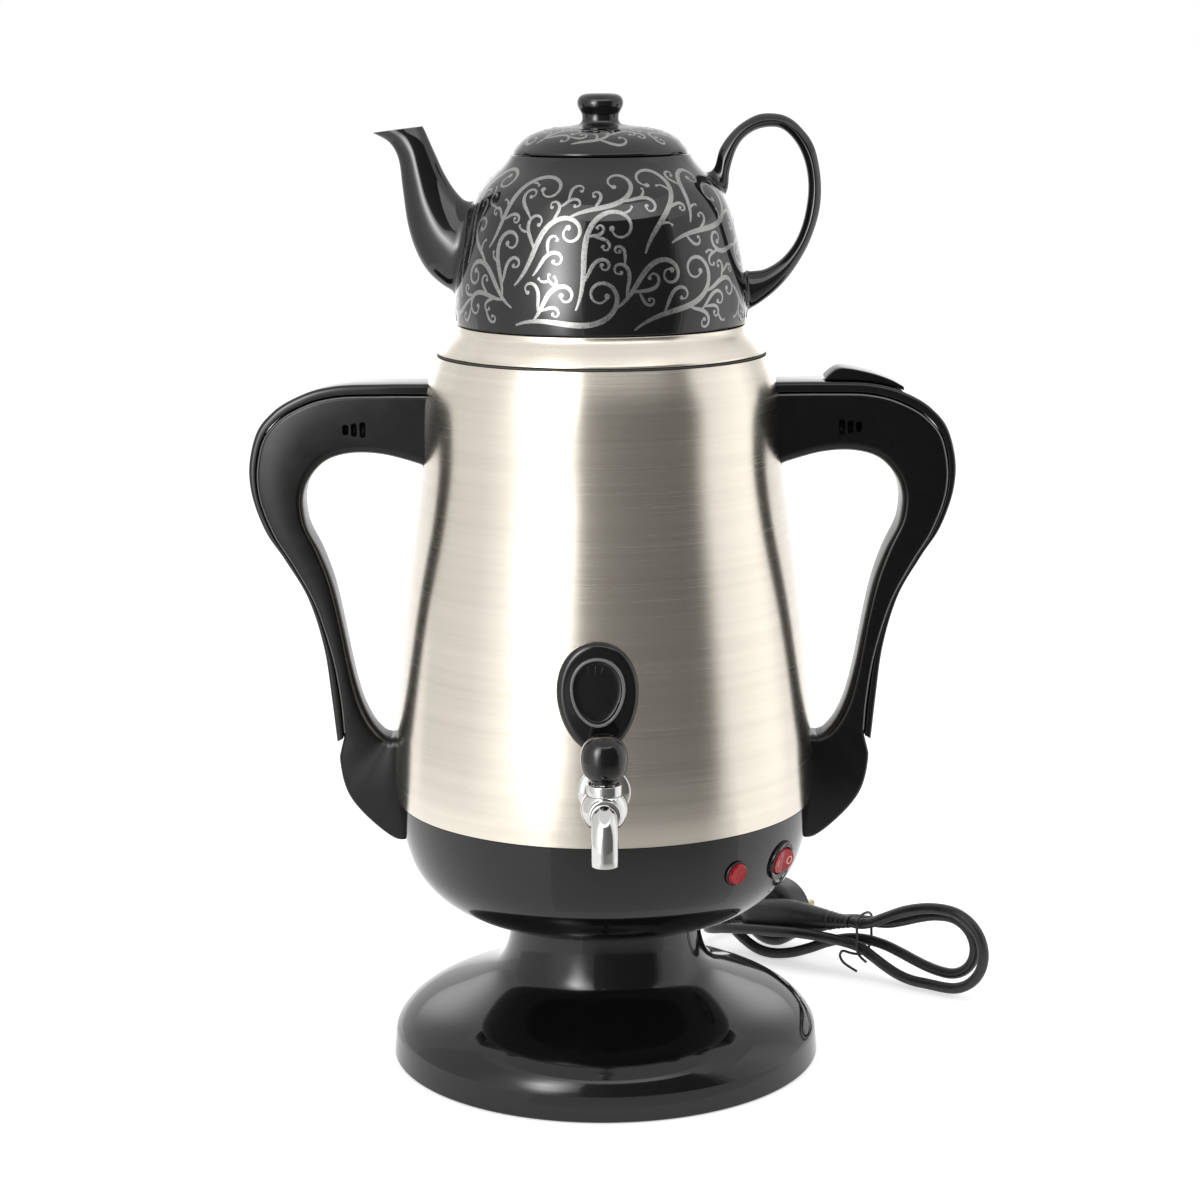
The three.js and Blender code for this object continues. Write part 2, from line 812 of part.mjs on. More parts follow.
// Heating element: an open ring under the tank bottom, with its tails turned down
function heatingElement() {
  const height = dishBottom - gap - elementTubeRadius;
  const half = THREE.MathUtils.degToRad(elementOpening / 2);
  const ringPoints = Array.from({ length: elementSteps + 1 }, (_, i) => {
    const angle = half + ((2 * Math.PI - 2 * half) * i) / elementSteps;
    return new THREE.Vector3(
      elementRingRadius * Math.cos(angle),
      elementRingRadius * Math.sin(angle),
      height,
    );
  });
  const [first, last] = [ringPoints[0], ringPoints[ringPoints.length - 1]];
  const bend = 2 * elementTubeRadius;
  const tail = (end, side) => [
    end.clone().add(new THREE.Vector3(0, -side * bend, -bend)),
    end.clone().add(new THREE.Vector3(0, -side * bend, -elementTailDrop)),
  ];
  const path = [...tail(first, 1).reverse(), ...ringPoints, ...tail(last, -1)];
  return tubeAlong(path, elementTubeRadius, elementSides);
}
add("heating_element", heatingElement(), zinc);
add(
  "thermostat",
  join(
    disc(thermostatRadius, dishBottom - gap - thermostatHeight, dishBottom - gap, turnedSteps),
    disc(
      thermostatRadius * thermostatFootShare,
      dishBottom - 2 * thermostatHeight,
      dishBottom - thermostatHeight,
      turnedSteps,
    ),
  ).translate(-thermostatReach, 0, 0),
  satinBlack,
);
add(
  "thermal_fuse",
  new THREE.CylinderGeometry(fuseRadius, fuseRadius, fuseLength, smallSteps).translate(
    thermostatReach,
    0,
    dishBottom - gap - fuseRadius,
  ),
  brass,
);
add(
  "terminal_block",
  new THREE.BoxGeometry(terminalLength, terminalWidth, terminalHeight).translate(
    0,
    -terminalReach,
    bowlBottom + bowlWall + gap + terminalHeight / 2,
  ),
  satinBlack,
);

// Lid ring: pressed steel with a seat for the pot and a steam hole
function topLid() {
  const rimTop = lidBottom + lidRimHeight;
  const slope = curved(
    [
      [lidRimRadius, rimTop],
      ...lidCurveShares.map(([out, up]) => [
        lidTopRadius + out * (lidRimRadius - lidTopRadius),
        rimTop + up * (lidTop - rimTop),
      ]),
      [lidTopRadius, lidTop],
    ],
    shortCurveSteps,
  );
  const seatInner = lidTopRadius - lidSeatWidth;
  const recessFloor = lidTop - lidRecess;
  const dome = revolve([new THREE.Vector2(lidRimRadius, lidBottom), ...slope]);
  const recess = disc(seatInner, recessFloor, lidTop + overrun);
  const under = between(inset(slope, lidWall), lidBottom + lidWall, lidTop - lidWall);
  const hollow = revolve([
    ...under,
    new THREE.Vector2(seatInner + lidWall, lidTop - lidWall),
    new THREE.Vector2(seatInner + lidWall, recessFloor - lidWall),
  ]);
  const lip = ring(steamHoleRadius, steamHoleRadius + lidWall, recessFloor - lidWall, lidTop);
  const open = disc(lidCollarRadius - lidWall, lidBottom - overrun, lidBottom + 2 * lidWall);
  const pressed = cut(dome, recess, hollow, open);
  return cut(join(pressed, lip), disc(steamHoleRadius, lidBottom, lidTop + overrun));
}
add("top_lid", topLid(), steel);

// Collar under the lid that centres it in the tank's mouth
add(
  "lid_collar",
  ring(lidCollarRadius - lidWall, lidCollarRadius, lidBottom - lidCollarDepth, lidBottom - gap),
  steel,
);
add(
  "lid_seal",
  ring(shellMouthRadius + gap, shellMouthRadius + gap + sealWidth, sealBottom, sealBottom + sealThickness),
  silicone,
);

// Teapot: thrown body, slip-cast spout and pulled handle in one piece
const potOutline = curved(
  [
    [potFootRadius, potBottom],
    ...potCurveShares.map(([radius, height]) => [radius * potRadius, potBottom + height * potHeight]),
    [potRimRadius, potTop],
  ],
  curveSteps,
);

// Rings across a curved limb, from rows of outer edge, inner edge and width
function limbRings(rows, place, width, wall, section) {
  return rows.map(([outerReach, outerRise, innerReach, innerRise, widthShare]) => {
    const outer = place(outerReach, outerRise);
    const inner = place(innerReach, innerRise);
    const across = inner.clone().sub(outer);
    const length = across.length();
    across.normalize();
    return section(length - 2 * wall, width * widthShare - 2 * wall).map(([along, side]) =>
      outer
        .clone()
        .addScaledVector(across, along + wall)
        .add(new THREE.Vector3(0, side, 0)),
    );
  });
}

// Oval section with a soft ridge along each side
function ridgedOval(sides, ridge) {
  return (length, width) =>
    Array.from({ length: sides }, (_, i) => {
      const turn = (2 * Math.PI * i) / sides;
      const [c, s] = [Math.cos(turn), Math.sin(turn)];
      const soft = Math.abs(c) > Math.abs(s) ? 1 : 1 / Math.max(Math.abs(s), ridge);
      return [(length / 2) * (1 - c), (width / 2) * s * (Math.abs(s) < 1 ? soft * Math.abs(s) : 1)];
    });
}

function roundedBar(rounding) {
  return (length, width) => {
    const r = Math.min(rounding, length * handleRoundShare, width * handleRoundShare);
    const half = width / 2;
    const k = 1 - Math.SQRT1_2;
    return [
      [0, r - half],
      [k * r, k * r - half],
      [r, -half],
      [length - r, -half],
      [length - k * r, k * r - half],
      [length, r - half],
      [length, half - r],
      [length - k * r, half - k * r],
      [length - r, half],
      [r, half],
      [k * r, half - k * r],
      [0, half - r],
    ];
  };
}

function spoutPlace(reach, rise) {
  return new THREE.Vector3(-potRadius - reach * spoutReach, 0, potBottom + rise * spoutRise);
}

function potHandlePlace(reach, rise) {
  return new THREE.Vector3(potRadius + reach * potHandleReach, 0, potBottom + rise * potHandleRise);
}

function teapotBody() {
  const body = revolve(potOutline);
  const oval = ridgedOval(spoutSides, spoutRidgeShare);
  const spout = loft(limbRings(spoutShares, spoutPlace, spoutWidth, 0, oval));
  const mouth = spoutShares[spoutShares.length - 1];
  const neck = spoutShares[spoutShares.length - 2];
  const beyond = mouth.map((share, i) => share + (share - neck[i]) / 2);
  const innerRows = [...spoutShares, [mouth[0], beyond[1], mouth[2], beyond[3] + mouth[4] / 9, mouth[4]]];
  const bore = loft(limbRings(innerRows, spoutPlace, spoutWidth, spoutWall, oval));
  const handleSection = ridgedOval(potHandleSides, spoutRidgeShare);
  const handle = loft(limbRings(potHandleShares, potHandlePlace, potHandleWidth, 0, handleSection));
  const inside = revolve([
    ...between(coarse(inset(potOutline, potWall)), potBottom + potFloor, potTop - potWall),
    new THREE.Vector2(potMouthRadius, potTop - potWall),
    new THREE.Vector2(potMouthRadius, potTop + overrun),
  ]);
  const footRecess = disc(potFootRadius - potFootWidth, potBottom - overrun, potBottom + potFootRecess);
  const strainer = aroundAxis(strainerHoles, strainerRingRadius, 90).map(({ x, y }) =>
    disc(strainerHoleRadius, 0, potRadius * strainerDepthShare, smallSteps)
      .rotateY(-Math.PI / 2)
      .translate(-potRadius / 2, x, potBottom + strainerRise + y),
  );
  return cut(join(body, spout, handle), inside, footRecess, cut(bore, body), ...strainer);
}
add("teapot_body", teapotBody(), ceramic);

// Teapot lid: a dome with a flange in the pot's mouth and a turned knob
function teapotLid() {
  const rimTop = potLidBottom + potLidRimHeight;
  const at = (share) => potLidBottom + share * potLidHeight;
  const dome = curved(
    [
      [potLidRadius, rimTop],
      ...potLidDomeShares.map(([radius, height]) => [radius * potLidRadius, at(height)]),
    ],
    curveSteps,
  );
  const waist = knobWaistRadius;
  const belly = knobRadius - waist;
  const [foot, low, mid, under, wide, high, top] = knobHeightShares.map(at);
  const knob = curved(
    [
      [knobBaseRadius * knobRadiusShares[0], foot],
      [waist, foot],
      [waist + belly * knobRadiusShares[1], low],
      [waist + belly * knobRadiusShares[2], mid],
      [waist + belly * knobRadiusShares[3], under],
      [waist + belly * knobRadiusShares[4], wide],
      [waist + belly * knobRadiusShares[5], high],
      [waist, top],
      [knobTopRadius * knobRadiusShares[5], top],
    ],
    shortCurveSteps,
  );
  const outer = revolve([new THREE.Vector2(potLidRadius, potLidBottom), ...dome, ...knob], potLidSteps);
  const flangeBottom = potLidBottom - potLidFlangeDepth;
  const flange = disc(potLidFlangeRadius, flangeBottom, rimTop, potLidSteps);
  const flangeInner = potLidFlangeRadius - potLidWall;
  const hollow = revolve(
    [
      new THREE.Vector2(flangeInner, flangeBottom - overrun),
      new THREE.Vector2(flangeInner, rimTop),
      ...inset(dome, potLidWall).filter((point) => point.x < flangeInner && point.y > rimTop),
    ],
    potLidSteps,
  );
  const vent = disc(ventHoleRadius, potLidBottom, potLidBottom + potLidHeight, smallSteps);
  return cut(join(outer, flange), hollow, vent.translate(ventHoleReach, 0, 0));
}
add("teapot_lid", teapotLid(), ceramic);

// Side handles
function handlePlace(reach, rise) {
  return new THREE.Vector3(shellRadius + reach * handleReach, 0, handleBottom + rise * handleRise);
}

const lastHandleRow = handleShares[handleShares.length - 1];
const inletShare = handleInlet / handleReach;
const topEndReach = (shellTopRadius - handleTopInlet - shellRadius) / handleReach;
const handleRows = [
  [topEndReach, 1, topEndReach, handleTopEndShare, 1],
  ...handleShares,
  lastHandleRow.map((share, i) => (i === 0 || i === 2 ? -inletShare : share)),
];

function handleLoft(grow) {
  return loft(limbRings(handleRows, handlePlace, handleWidth, -grow, roundedBar(handleRounding)));
}

// The zone that the outer strip takes, past the handle's outside and both sides
function stripZone(thickness, lengthen) {
  const rows = handleRows.slice(0, handleStripRows);
  const slab = (row, i) => {
    const [outerReach, outerRise, innerReach, innerRise] = row;
    const outer = handlePlace(outerReach, outerRise);
    const across = handlePlace(innerReach, innerRise).sub(outer).normalize();
    const depth = thickness - (i * (1 - stripEndShare) * stripThickness) / handleStripRows;
    return [
      [-overrun, -handleWidth],
      [depth, -handleWidth],
      [depth, handleWidth],
      [-overrun, handleWidth],
    ].map(([along, side]) =>
      outer
        .clone()
        .addScaledVector(across, along)
        .add(new THREE.Vector3(0, side, 0)),
    );
  };
  const rings = rows.map(slab);
  const end = rings[rings.length - 1];
  const onward = end[0].clone().sub(rings[rings.length - 2][0]).normalize();
  if (lengthen > 0) rings.push(end.map((point) => point.clone().addScaledVector(onward, lengthen)));
  return loft(rings);
}

function slotCutters() {
  return slotShares.map((share, i) =>
    new THREE.BoxGeometry(slotWidth, 2 * slotDepth, slotHeight * share).translate(
      shellRadius + slotReach + i * slotPitch,
      -handleWidth / 2,
      handleBottom + handleRise - slotDrop,
    ),
  );
}

const screwSeats = {
  upper: seatOn(shellOutline, 0, screwHeights.upper),
  lower: seatOn(shellOutline, 0, screwHeights.lower),
};
const wholeHandle = cut(handleLoft(0), bodyEnvelope(gap));
const screwPilots = Object.values(screwSeats).map((seat) =>
  disc(screwRadius + gap, -overrun, screwHoleDepth, smallSteps).applyMatrix4(seat),
);
const gripZone = stripZone(stripThickness + 2 * gap, gap);
const handleGrip = cut(wholeHandle, gripZone, ...slotCutters(), ...screwPilots);
const handleStrip = common(wholeHandle, stripZone(stripThickness, 0));

const headSeat = -(shellWall + 3 * gap + washerThickness);
for (const [side, mirror] of [["right", 1], ["left", -1]]) {
  const group = new THREE.Group();
  group.scale.x = mirror;
  scene.add(group);
  add(`${side}_handle_grip`, handleGrip, satinBlack, group);
  add(`${side}_handle_strip`, handleStrip, glossBlack, group);
  for (const [place, seat] of Object.entries(screwSeats)) {
    const screwShape = screw(screwHeadRadius, screwHeadHeight, screwRadius, screwLength)
      .translate(0, 0, headSeat)
      .applyMatrix4(seat);
    add(`${side}_handle_screw_${place}`, screwShape, zinc, group);
    const foot = headSeat + gap;
    const washer = ring(screwRadius + gap, washerRadius, foot, foot + washerThickness, smallSteps);
    add(`${side}_handle_washer_${place}`, washer.applyMatrix4(seat), silicone, group);
  }
}

// Thumb rest on top of the right handle, fitted over its strip
function thumbRest() {
  const startX = shellRadius + thumbRestReach;
  const startZ = handleBottom + handleRise;
  const outline = new THREE.Shape(
    thumbRestShares.map(
      ([along, up]) => new THREE.Vector2(startX + along * thumbRestLength, startZ + up * thumbRestHeight),
    ),
  );
  const slab = new THREE.ExtrudeGeometry(outline, { depth: thumbRestWidth, bevelEnabled: false });
  slab.rotateX(Math.PI / 2).translate(0, thumbRestWidth / 2, 0);
  return cut(slab, handleLoft(gap));
}
add("thumb_rest", thumbRest(), satinBlack);

// Front badge: an oval plate that follows the shell, with a raised oval ring
function ovalPrism(halfWidth, halfHeight, frontShrink, from, to) {
  const oval = (shrink, y) =>
    Array.from({ length: badgeSteps }, (_, i) => {
      const turn = (2 * Math.PI * i) / badgeSteps;
      const egg = 1 + badgeEggShare * Math.sin(turn);
      return new THREE.Vector3(
        (halfWidth - shrink) * Math.cos(turn) * egg,
        y,
        (halfHeight - shrink) * Math.sin(turn),
      );
    });
  return loft([oval(0, from), oval(frontShrink, to)]);
}

function frontBadge() {
  const back = -radiusAt(shellOutline, badgeHeight);
  const front = back - badgeThickness;
  const start = back + 2 * overrun;
  const plate = ovalPrism(badgeHalfWidth, badgeHalfHeight, badgeBevel, start, front - badgeThickness);
  plate.translate(badgeOffset, 0, badgeHeight);
  const face = bodyEnvelope(badgeThickness);
  const ringFace = bodyEnvelope(badgeThickness + badgeRingRelief);
  const [wide, high] = [badgeRingHalfWidth, badgeRingHalfHeight];
  const ringOuter = ovalPrism(wide, high, 0, back + overrun, front - overrun);
  const ringInner = ovalPrism(wide - badgeRingWidth, high - badgeRingWidth, 0, start, front - 2 * overrun);
  const ringTube = cut(ringOuter, ringInner).translate(badgeOffset, 0, badgeRingHeight);
  const raised = common(ringTube, ringFace);
  return cut(join(common(plate, face), raised), bodyEnvelope(gap));
}
add("front_badge", frontBadge(), satinBlack);

// Tap: its parts share one group, with X across, -Y out of the tank and the origin on the valve axis
const wallY = -radiusAt(shellOutline, tapHeight);
const valveY = wallY - tapReach;
const tap = groupAt(new THREE.Matrix4().makeTranslation(0, valveY, tapHeight));
const wall = wallY - valveY;

function alongY(geometry) {
  return geometry.rotateX(-Math.PI / 2);
}

const sealFront = wall - 2 * gap - tapSealThickness;
add(
  "tap_seal",
  alongY(ring(tapShankRadius + gap, tapSealRadius, sealFront, sealFront + tapSealThickness, turnedSteps)),
  silicone,
  tap,
);
const flangeBack = sealFront - gap;
const flangeFront = flangeBack - tapFlangeThickness;
const flangeOutline = outlineOf([
  [tapShankRadius + gap, flangeFront],
  [tapFlangeRadius * flangeFaceShare, flangeFront],
  [tapFlangeRadius, flangeBack - tapFlangeThickness / 3],
  [tapFlangeRadius, flangeBack],
  [tapShankRadius + gap, flangeBack],
  [tapShankRadius + gap, flangeFront],
]);
const flange = new THREE.LatheGeometry(flangeOutline, turnedSteps).rotateX(Math.PI / 2);
add("tap_flange", alongY(flange), chrome, tap);
const nutFront = wall + 2 * shellWall + 3 * gap;
add(
  "tap_nut",
  alongY(hexagon(tapNutRadius, tapShankRadius + gap, nutFront, nutFront + tapNutThickness)),
  brass,
  tap,
);

function tapBody() {
  const ball = new THREE.SphereGeometry(tapBallRadius, turnedSteps, ballRows).rotateX(Math.PI / 2);
  const shank = alongY(disc(tapShankRadius, 0, wall + tapShankInside, turnedSteps));
  const boreEnd = wall + tapShankInside + overrun;
  const bore = alongY(disc(tapBoreRadius, -tapBallRadius - overrun, boreEnd, turnedSteps));
  const socket = disc(valveRadius + gap, -valveDepth - gap, tapBallRadius + overrun, turnedSteps);
  const topCut = disc(tapBonnetRadius + gap, tapBonnetFoot - gap, tapBallRadius + overrun, turnedSteps);
  const frontCut = alongY(
    disc(tapCollarRadius + gap, -tapBallRadius - overrun, -tapBallRadius + tapCollarLength / 2, turnedSteps),
  );
  return cut(join(ball, shank), bore, socket, topCut, frontCut);
}
add("tap_body", tapBody(), chrome, tap);
add(
  "tap_bonnet",
  ring(valveRadius + gap, tapBonnetRadius, tapBonnetFoot, tapBonnetRise, turnedSteps),
  chrome,
  tap,
);

// Valve plug with a cross hole, shut at rest, and the knob on its stem
const valve = cut(
  disc(valveRadius, -valveDepth, tapBonnetRise + gap, turnedSteps),
  disc(tapBoreRadius, -tapBallRadius, tapBallRadius, turnedSteps).rotateY(Math.PI / 2),
);
const stemRadius = valveRadius / 2;
const stem = disc(stemRadius, tapBonnetRise, valveStemRise, smallSteps);
add("valve_plug", join(valve, stem), brass, tap);
const knobBottom = tapBonnetRise + 2 * gap;
const knobBody = knobBottom + tapKnobNeckHeight;
const knobTop = knobBottom + tapKnobHeight;
const knobOutline = [
  new THREE.Vector2(tapKnobNeckRadius, knobBottom),
  ...curved(
    [
      [tapKnobNeckRadius, knobBody],
      ...tapKnobShares.map(([out, up]) => [
        tapKnobRadius * out,
        Math.min(knobBody + tapKnobHeight * up, knobTop),
      ]),
      [0, knobTop],
    ],
    curveSteps,
  ),
];
const stemSocket = disc(stemRadius + gap, knobBottom - overrun, valveStemRise + gap, smallSteps);
add("tap_knob", cut(revolve(knobOutline, turnedSteps), stemSocket), glossBlack, tap);

// Outlet spout: a collar on the ball, a bend and a straight end, with its bore right through
function spoutPath(lead, trail) {
  const start = -tapBallRadius + tapCollarLength / 2 - gap;
  const arc = Array.from({ length: 7 }, (_, i) => {
    const turn = (Math.PI * i) / 12;
    return new THREE.Vector3(
      0,
      -tapSpoutReach + tapSpoutBend * (1 - Math.sin(turn)),
      -tapSpoutBend * (1 - Math.cos(turn)),
    );
  });
  const first = new THREE.Vector3(0, start + lead, 0);
  const last = new THREE.Vector3(0, -tapSpoutReach, -tapSpoutDrop - trail);
  return [first, ...arc, last];
}

function tapSpout() {
  const start = -tapBallRadius + tapCollarLength / 2 - gap;
  const tube = tubeAlong(spoutPath(0, 0), tapSpoutRadius, 12);
  const collar = alongY(disc(tapCollarRadius, start - tapCollarLength, start, turnedSteps));
  const bore = tubeAlong(spoutPath(overrun, overrun), tapSpoutRadius - tapSpoutWall, 10);
  return cut(join(tube, collar), bore);
}
add("tap_spout", tapSpout(), chrome, tap);

// Pilot lamp
const lampGroup = groupAt(lampSeat);
const lampBezelOutline = outlineOf([
  [lampBodyRadius, -lampBodyLength],
  [lampBodyRadius, -panelSink],
  [lampRadius, -panelSink],
  [lampRadius, panelRise * bezelEdgeShare],
  [lampRadius * lampFaceShare, panelRise],
]);
add(
  "lamp_bezel",
  cut(
    revolve(lampBezelOutline, turnedSteps),
    disc(lampLensRadius + gap, 0, overrun, turnedSteps),
    disc(lampBodyRadius * lampBoreShare, -lampBodyLength / 2, overrun, turnedSteps),
  ),
  satinBlack,
  lampGroup,
);
const lensOutline = curved(
  [
    [lampLensRadius, gap],
    [lampLensRadius, lampLensRise],
    [0, lampLensRise + gap],
  ],
  4,
);
add(
  "lamp_lens",
  join(
    revolve(lensOutline, turnedSteps),
    disc(lampBodyRadius * lampBoreShare - gap, -lampBodyLength / 3, 2 * gap, turnedSteps),
  ),
  redClear,
  lampGroup,
);

// A ring nut inside the bowl wall, seated on the floor of the seat's recess
function innerNut(radius, hole, thickness, seat) {
  const front = -bowlWall - 4 * gap;
  return ring(hole + gap, radius, front - thickness, front, turnedSteps).applyMatrix4(seat);
}
add("lamp_nut", innerNut(lampNutRadius, lampBodyRadius, lampNutThickness, lampSeat), satinBlack);

// Rocker switch: its rocker turns in a round well about an upright axis
const switchGroup = groupAt(switchSeat);
const switchOutline = outlineOf([
  [switchBodyRadius, -switchBodyLength],
  [switchBodyRadius, -panelSink],
  [switchRadius, -panelSink],
  [switchRadius, panelRise * bezelEdgeShare],
  [switchRadius * switchFaceShare, panelRise],
]);
add(
  "switch_housing",
  cut(
    revolve(switchOutline, turnedSteps),
    disc(switchWellRadius, panelRise - switchWellDepth, panelRise + overrun, turnedSteps),
  ),
  satinBlack,
  switchGroup,
);
const rocker = new THREE.Group();
rocker.position.z = panelRise - rockerPivotDepth;
rocker.rotation.y = THREE.MathUtils.degToRad(rockerTilt);
switchGroup.add(rocker);

function switchRocker() {
  const ball = new THREE.SphereGeometry(rockerRadius, turnedSteps, ballRows).rotateX(Math.PI / 2);
  const slant = rockerRadius * Math.tan(THREE.MathUtils.degToRad(rockerTilt));
  const outline = new THREE.Shape([
    new THREE.Vector2(-rockerRadius, -rockerFoot),
    new THREE.Vector2(rockerRadius, -rockerFoot),
    new THREE.Vector2(rockerRadius, rockerCrown),
    new THREE.Vector2(0, rockerCrown - slant),
    new THREE.Vector2(-rockerRadius, rockerCrown),
  ]);
  const slab = new THREE.ExtrudeGeometry(outline, { depth: 2 * rockerRadius, bevelEnabled: false });
  slab.rotateX(Math.PI / 2).translate(0, rockerRadius, 0);
  return common(ball, slab);
}
add("switch_rocker", switchRocker(), redClear, rocker);

// Cord gland: a flange, a threaded shank with its nut, and a grooved boot
function cordGland() {
  const outline = [
    [glandThreadRadius, -glandThreadLength],
    [glandThreadRadius, -panelSink],
    [glandFlangeRadius, -panelSink],
    [glandFlangeRadius, glandFlangeThickness - panelSink],
    [glandRootRadius, glandFlangeThickness - panelSink],
  ];
  const bootStart = glandFlangeThickness - panelSink;
  const pitch = (glandLength - bootStart) / (glandGrooves + 1);
  for (let i = 1; i <= glandGrooves; i += 1) {
    const height = bootStart + i * pitch;
    const radius = glandRootRadius + ((glandTipRadius - glandRootRadius) * i) / (glandGrooves + 1);
    outline.push([radius, height - pitch / 4]);
    outline.push([radius - glandGrooveDepth, height - pitch / 4]);
    outline.push([radius - glandGrooveDepth, height]);
    outline.push([radius, height]);
  }
  outline.push([glandTipRadius, glandLength]);
  return revolve(outlineOf(outline), glandSides);
}
const gland = add("cord_gland", cordGland(), cordBlack);
gland.applyMatrix4(glandSeat);
add("gland_nut", innerNut(glandNutRadius, glandThreadRadius, glandNutThickness, glandSeat), satinBlack);

// Lead: it leaves the gland straight, falls in a curve and runs into the hank
const glandTip = new THREE.Vector3(0, 0, glandLength + gap).applyMatrix4(glandSeat);
const glandOnward = new THREE.Vector3(0, 0, glandLength + 2.5 * cordDiameter).applyMatrix4(glandSeat);

// The hank stands on edge in an upright plane: along it, up it and out of its back
const hankOrigin = new THREE.Vector3(183, 82, 0);
const hankAlong = new THREE.Vector3(-0.816, 0.578, 0);
const hankBack = new THREE.Vector3(0.578, 0.816, 0);
function hankPoint(along, up, back) {
  return hankOrigin
    .clone()
    .addScaledVector(hankAlong, along)
    .addScaledVector(hankBack, back)
    .add(new THREE.Vector3(0, 0, up));
}

// A rising or falling run between two points of the hank, level at both ends
function run(from, to, steps) {
  return Array.from({ length: steps }, (_, i) => {
    const share = (i + 1) / (steps + 1);
    const eased = (1 - Math.cos(Math.PI * share)) / 2;
    return [
      from[0] + (to[0] - from[0]) * share,
      from[1] + (to[1] - from[1]) * eased,
      from[2] + (to[2] - from[2]) * share,
    ];
  });
}

// The right-hand fold: from its top, round its end, to its bottom
function fold(along, up, back, reach, height, steps) {
  return Array.from({ length: steps + 1 }, (_, i) => {
    const turn = (Math.PI * i) / steps;
    return [along - reach * Math.sin(turn), up + height * Math.cos(turn), back];
  });
}

// The left-hand fold goes round the plug's head, from the front to the back
function foldRoundPlug(along, up, back, radius, steps) {
  const [fall, dip] = [1.75, 5];
  return Array.from({ length: steps + 1 }, (_, i) => {
    const turn = (Math.PI * i) / steps;
    return [
      along + radius * Math.sin(turn),
      up + fall * Math.cos(turn) - dip * Math.sin(turn),
      back - radius * Math.cos(turn),
    ];
  });
}

const waist = { upper: 31.2, lowerFront: 17.5, lowerBack: 20.2, front: -3.5, back: 3.5 };
const hankStart = [52, waist.upper, waist.front];
const outerFold = fold(-9, 26.6, -3.2, 23, 22.4, 12);
const innerFold = fold(-6.2, 26.7, 3.4, 17, 16.4, 10);
const plugFold = foldRoundPlug(132, 13.4, 8.2, 20, 8);
const hankRoute = [
  hankStart,
  [46, waist.upper, waist.front],
  [38, 33.6, waist.front],
  [29.8, 37.8, -3.4],
  [17.4, 43.8, -3.3],
  [3, 48, -3.2],
  ...outerFold,
  [3, 4.2, -3.2],
  [12, 4.3, -3.2],
  [20, 5.8, -3.3],
  [29, 9.3, -3.4],
  [37, 13.4, waist.front],
  [46, waist.lowerFront, waist.front],
  [60, 20.2, -6.6],
  [79, 21.4, -10.9],
  [96, 20.2, -12.2],
  [114, 18, -12.2],
  ...plugFold,
  [120, 13.2, 28.2],
  [108, 15, 27.2],
  [99, 15.8, 26.6],
  [91, 17.4, 24.8],
  [82, 20.6, 19.4],
  [72, 24, 13.4],
  [61, 28, 8.4],
  [52, 30.5, 5],
  [46, waist.upper, waist.back],
  ...run([42, waist.upper, waist.back], innerFold[0], 4),
  ...innerFold,
  ...run(innerFold.at(-1), [44, waist.lowerBack, waist.back], 4),
  [46, waist.lowerBack, waist.back],
  [58, 18.6, 3.2],
  [70, 14.6, 1.6],
  [82, 9, -0.4],
  [93, 5, -2.4],
  [104, 3.2, -3.8],
  [113, 4.2, -4.4],
  [122, 8.2, -4.4],
  [129, 13, -4.2],
  [135, 18.5, -3.6],
].map(([along, up, back]) => hankPoint(along, up, back));

const hankCurve = new THREE.CatmullRomCurve3(hankRoute, false, "centripetal");
const hankSteps = Math.round(hankCurve.getLength() / hankStep);
const hankPoints = hankCurve.getSpacedPoints(hankSteps);

// Least distance between turns of the hank, less one cord diameter
function leastGap(points, diameter) {
  const apart = Math.ceil((3 * diameter) / points[0].distanceTo(points[1]));
  let least = Infinity;
  for (let i = 0; i < points.length; i += 1) {
    for (let j = i + apart; j < points.length; j += 1) {
      least = Math.min(least, points[i].distanceTo(points[j]));
    }
  }
  return least - diameter;
}
const finePoints = hankCurve.getSpacedPoints(hankSteps * 6);
console.log("hank length", hankCurve.getLength().toFixed(1));
console.log("hank least gap to itself", leastGap(finePoints, cordDiameter).toFixed(2));
add("cord_hank", tubeAlong(hankPoints, cordDiameter / 2, hankSides), cordBlack);

const hankEnd = hankRoute[hankRoute.length - 1];
const hankOnward = hankEnd.clone().sub(hankRoute[hankRoute.length - 2]).normalize();
const leadPoints = [
  glandTip,
  glandOnward,
  new THREE.Vector3(3, 160, 95.5),
  new THREE.Vector3(10, 169.5, 85),
  new THREE.Vector3(20, 175, 71),
  new THREE.Vector3(32, 176, 57.5),
  new THREE.Vector3(45, 173.5, 45.5),
  new THREE.Vector3(57, 168, 34.5),
  hankEnd.clone().addScaledVector(hankOnward, cordDiameter),
  hankEnd.clone().addScaledVector(hankOnward, gap),
];
const leadCurve = new THREE.CatmullRomCurve3(leadPoints, false, "centripetal");
console.log("lead length", leadCurve.getLength().toFixed(1));
const leadSection = new THREE.Shape(
  Array.from({ length: leadSides }, (_, i) => {
    const turn = (2 * Math.PI * i) / leadSides;
    return new THREE.Vector2(Math.cos(turn), Math.sin(turn)).multiplyScalar(cordDiameter / 2);
  }),
);
add(
  "cord_lead",
  new THREE.ExtrudeGeometry(leadSection, { steps: leadSteps, extrudePath: leadCurve, bevelEnabled: false }),
  cordBlack,
);

// Moulded plug: a round head on edge behind the hank, and a neck that tapers to the cord
const headRadius = 19.3;
const headFront = 5;
const headBack = 22;
const headRounding = 1.5;
const headFaceShare = 0.8;
const headAlong = 112.5;
const headUp = 22.3;
const plugNeckHalfHeight = 11.4;
const plugNeckHalfDepth = 8.4;
const plugNeckSides = 12;
const pinRadius = 2.4;
const pinLength = 19;
const pinPitch = 19;
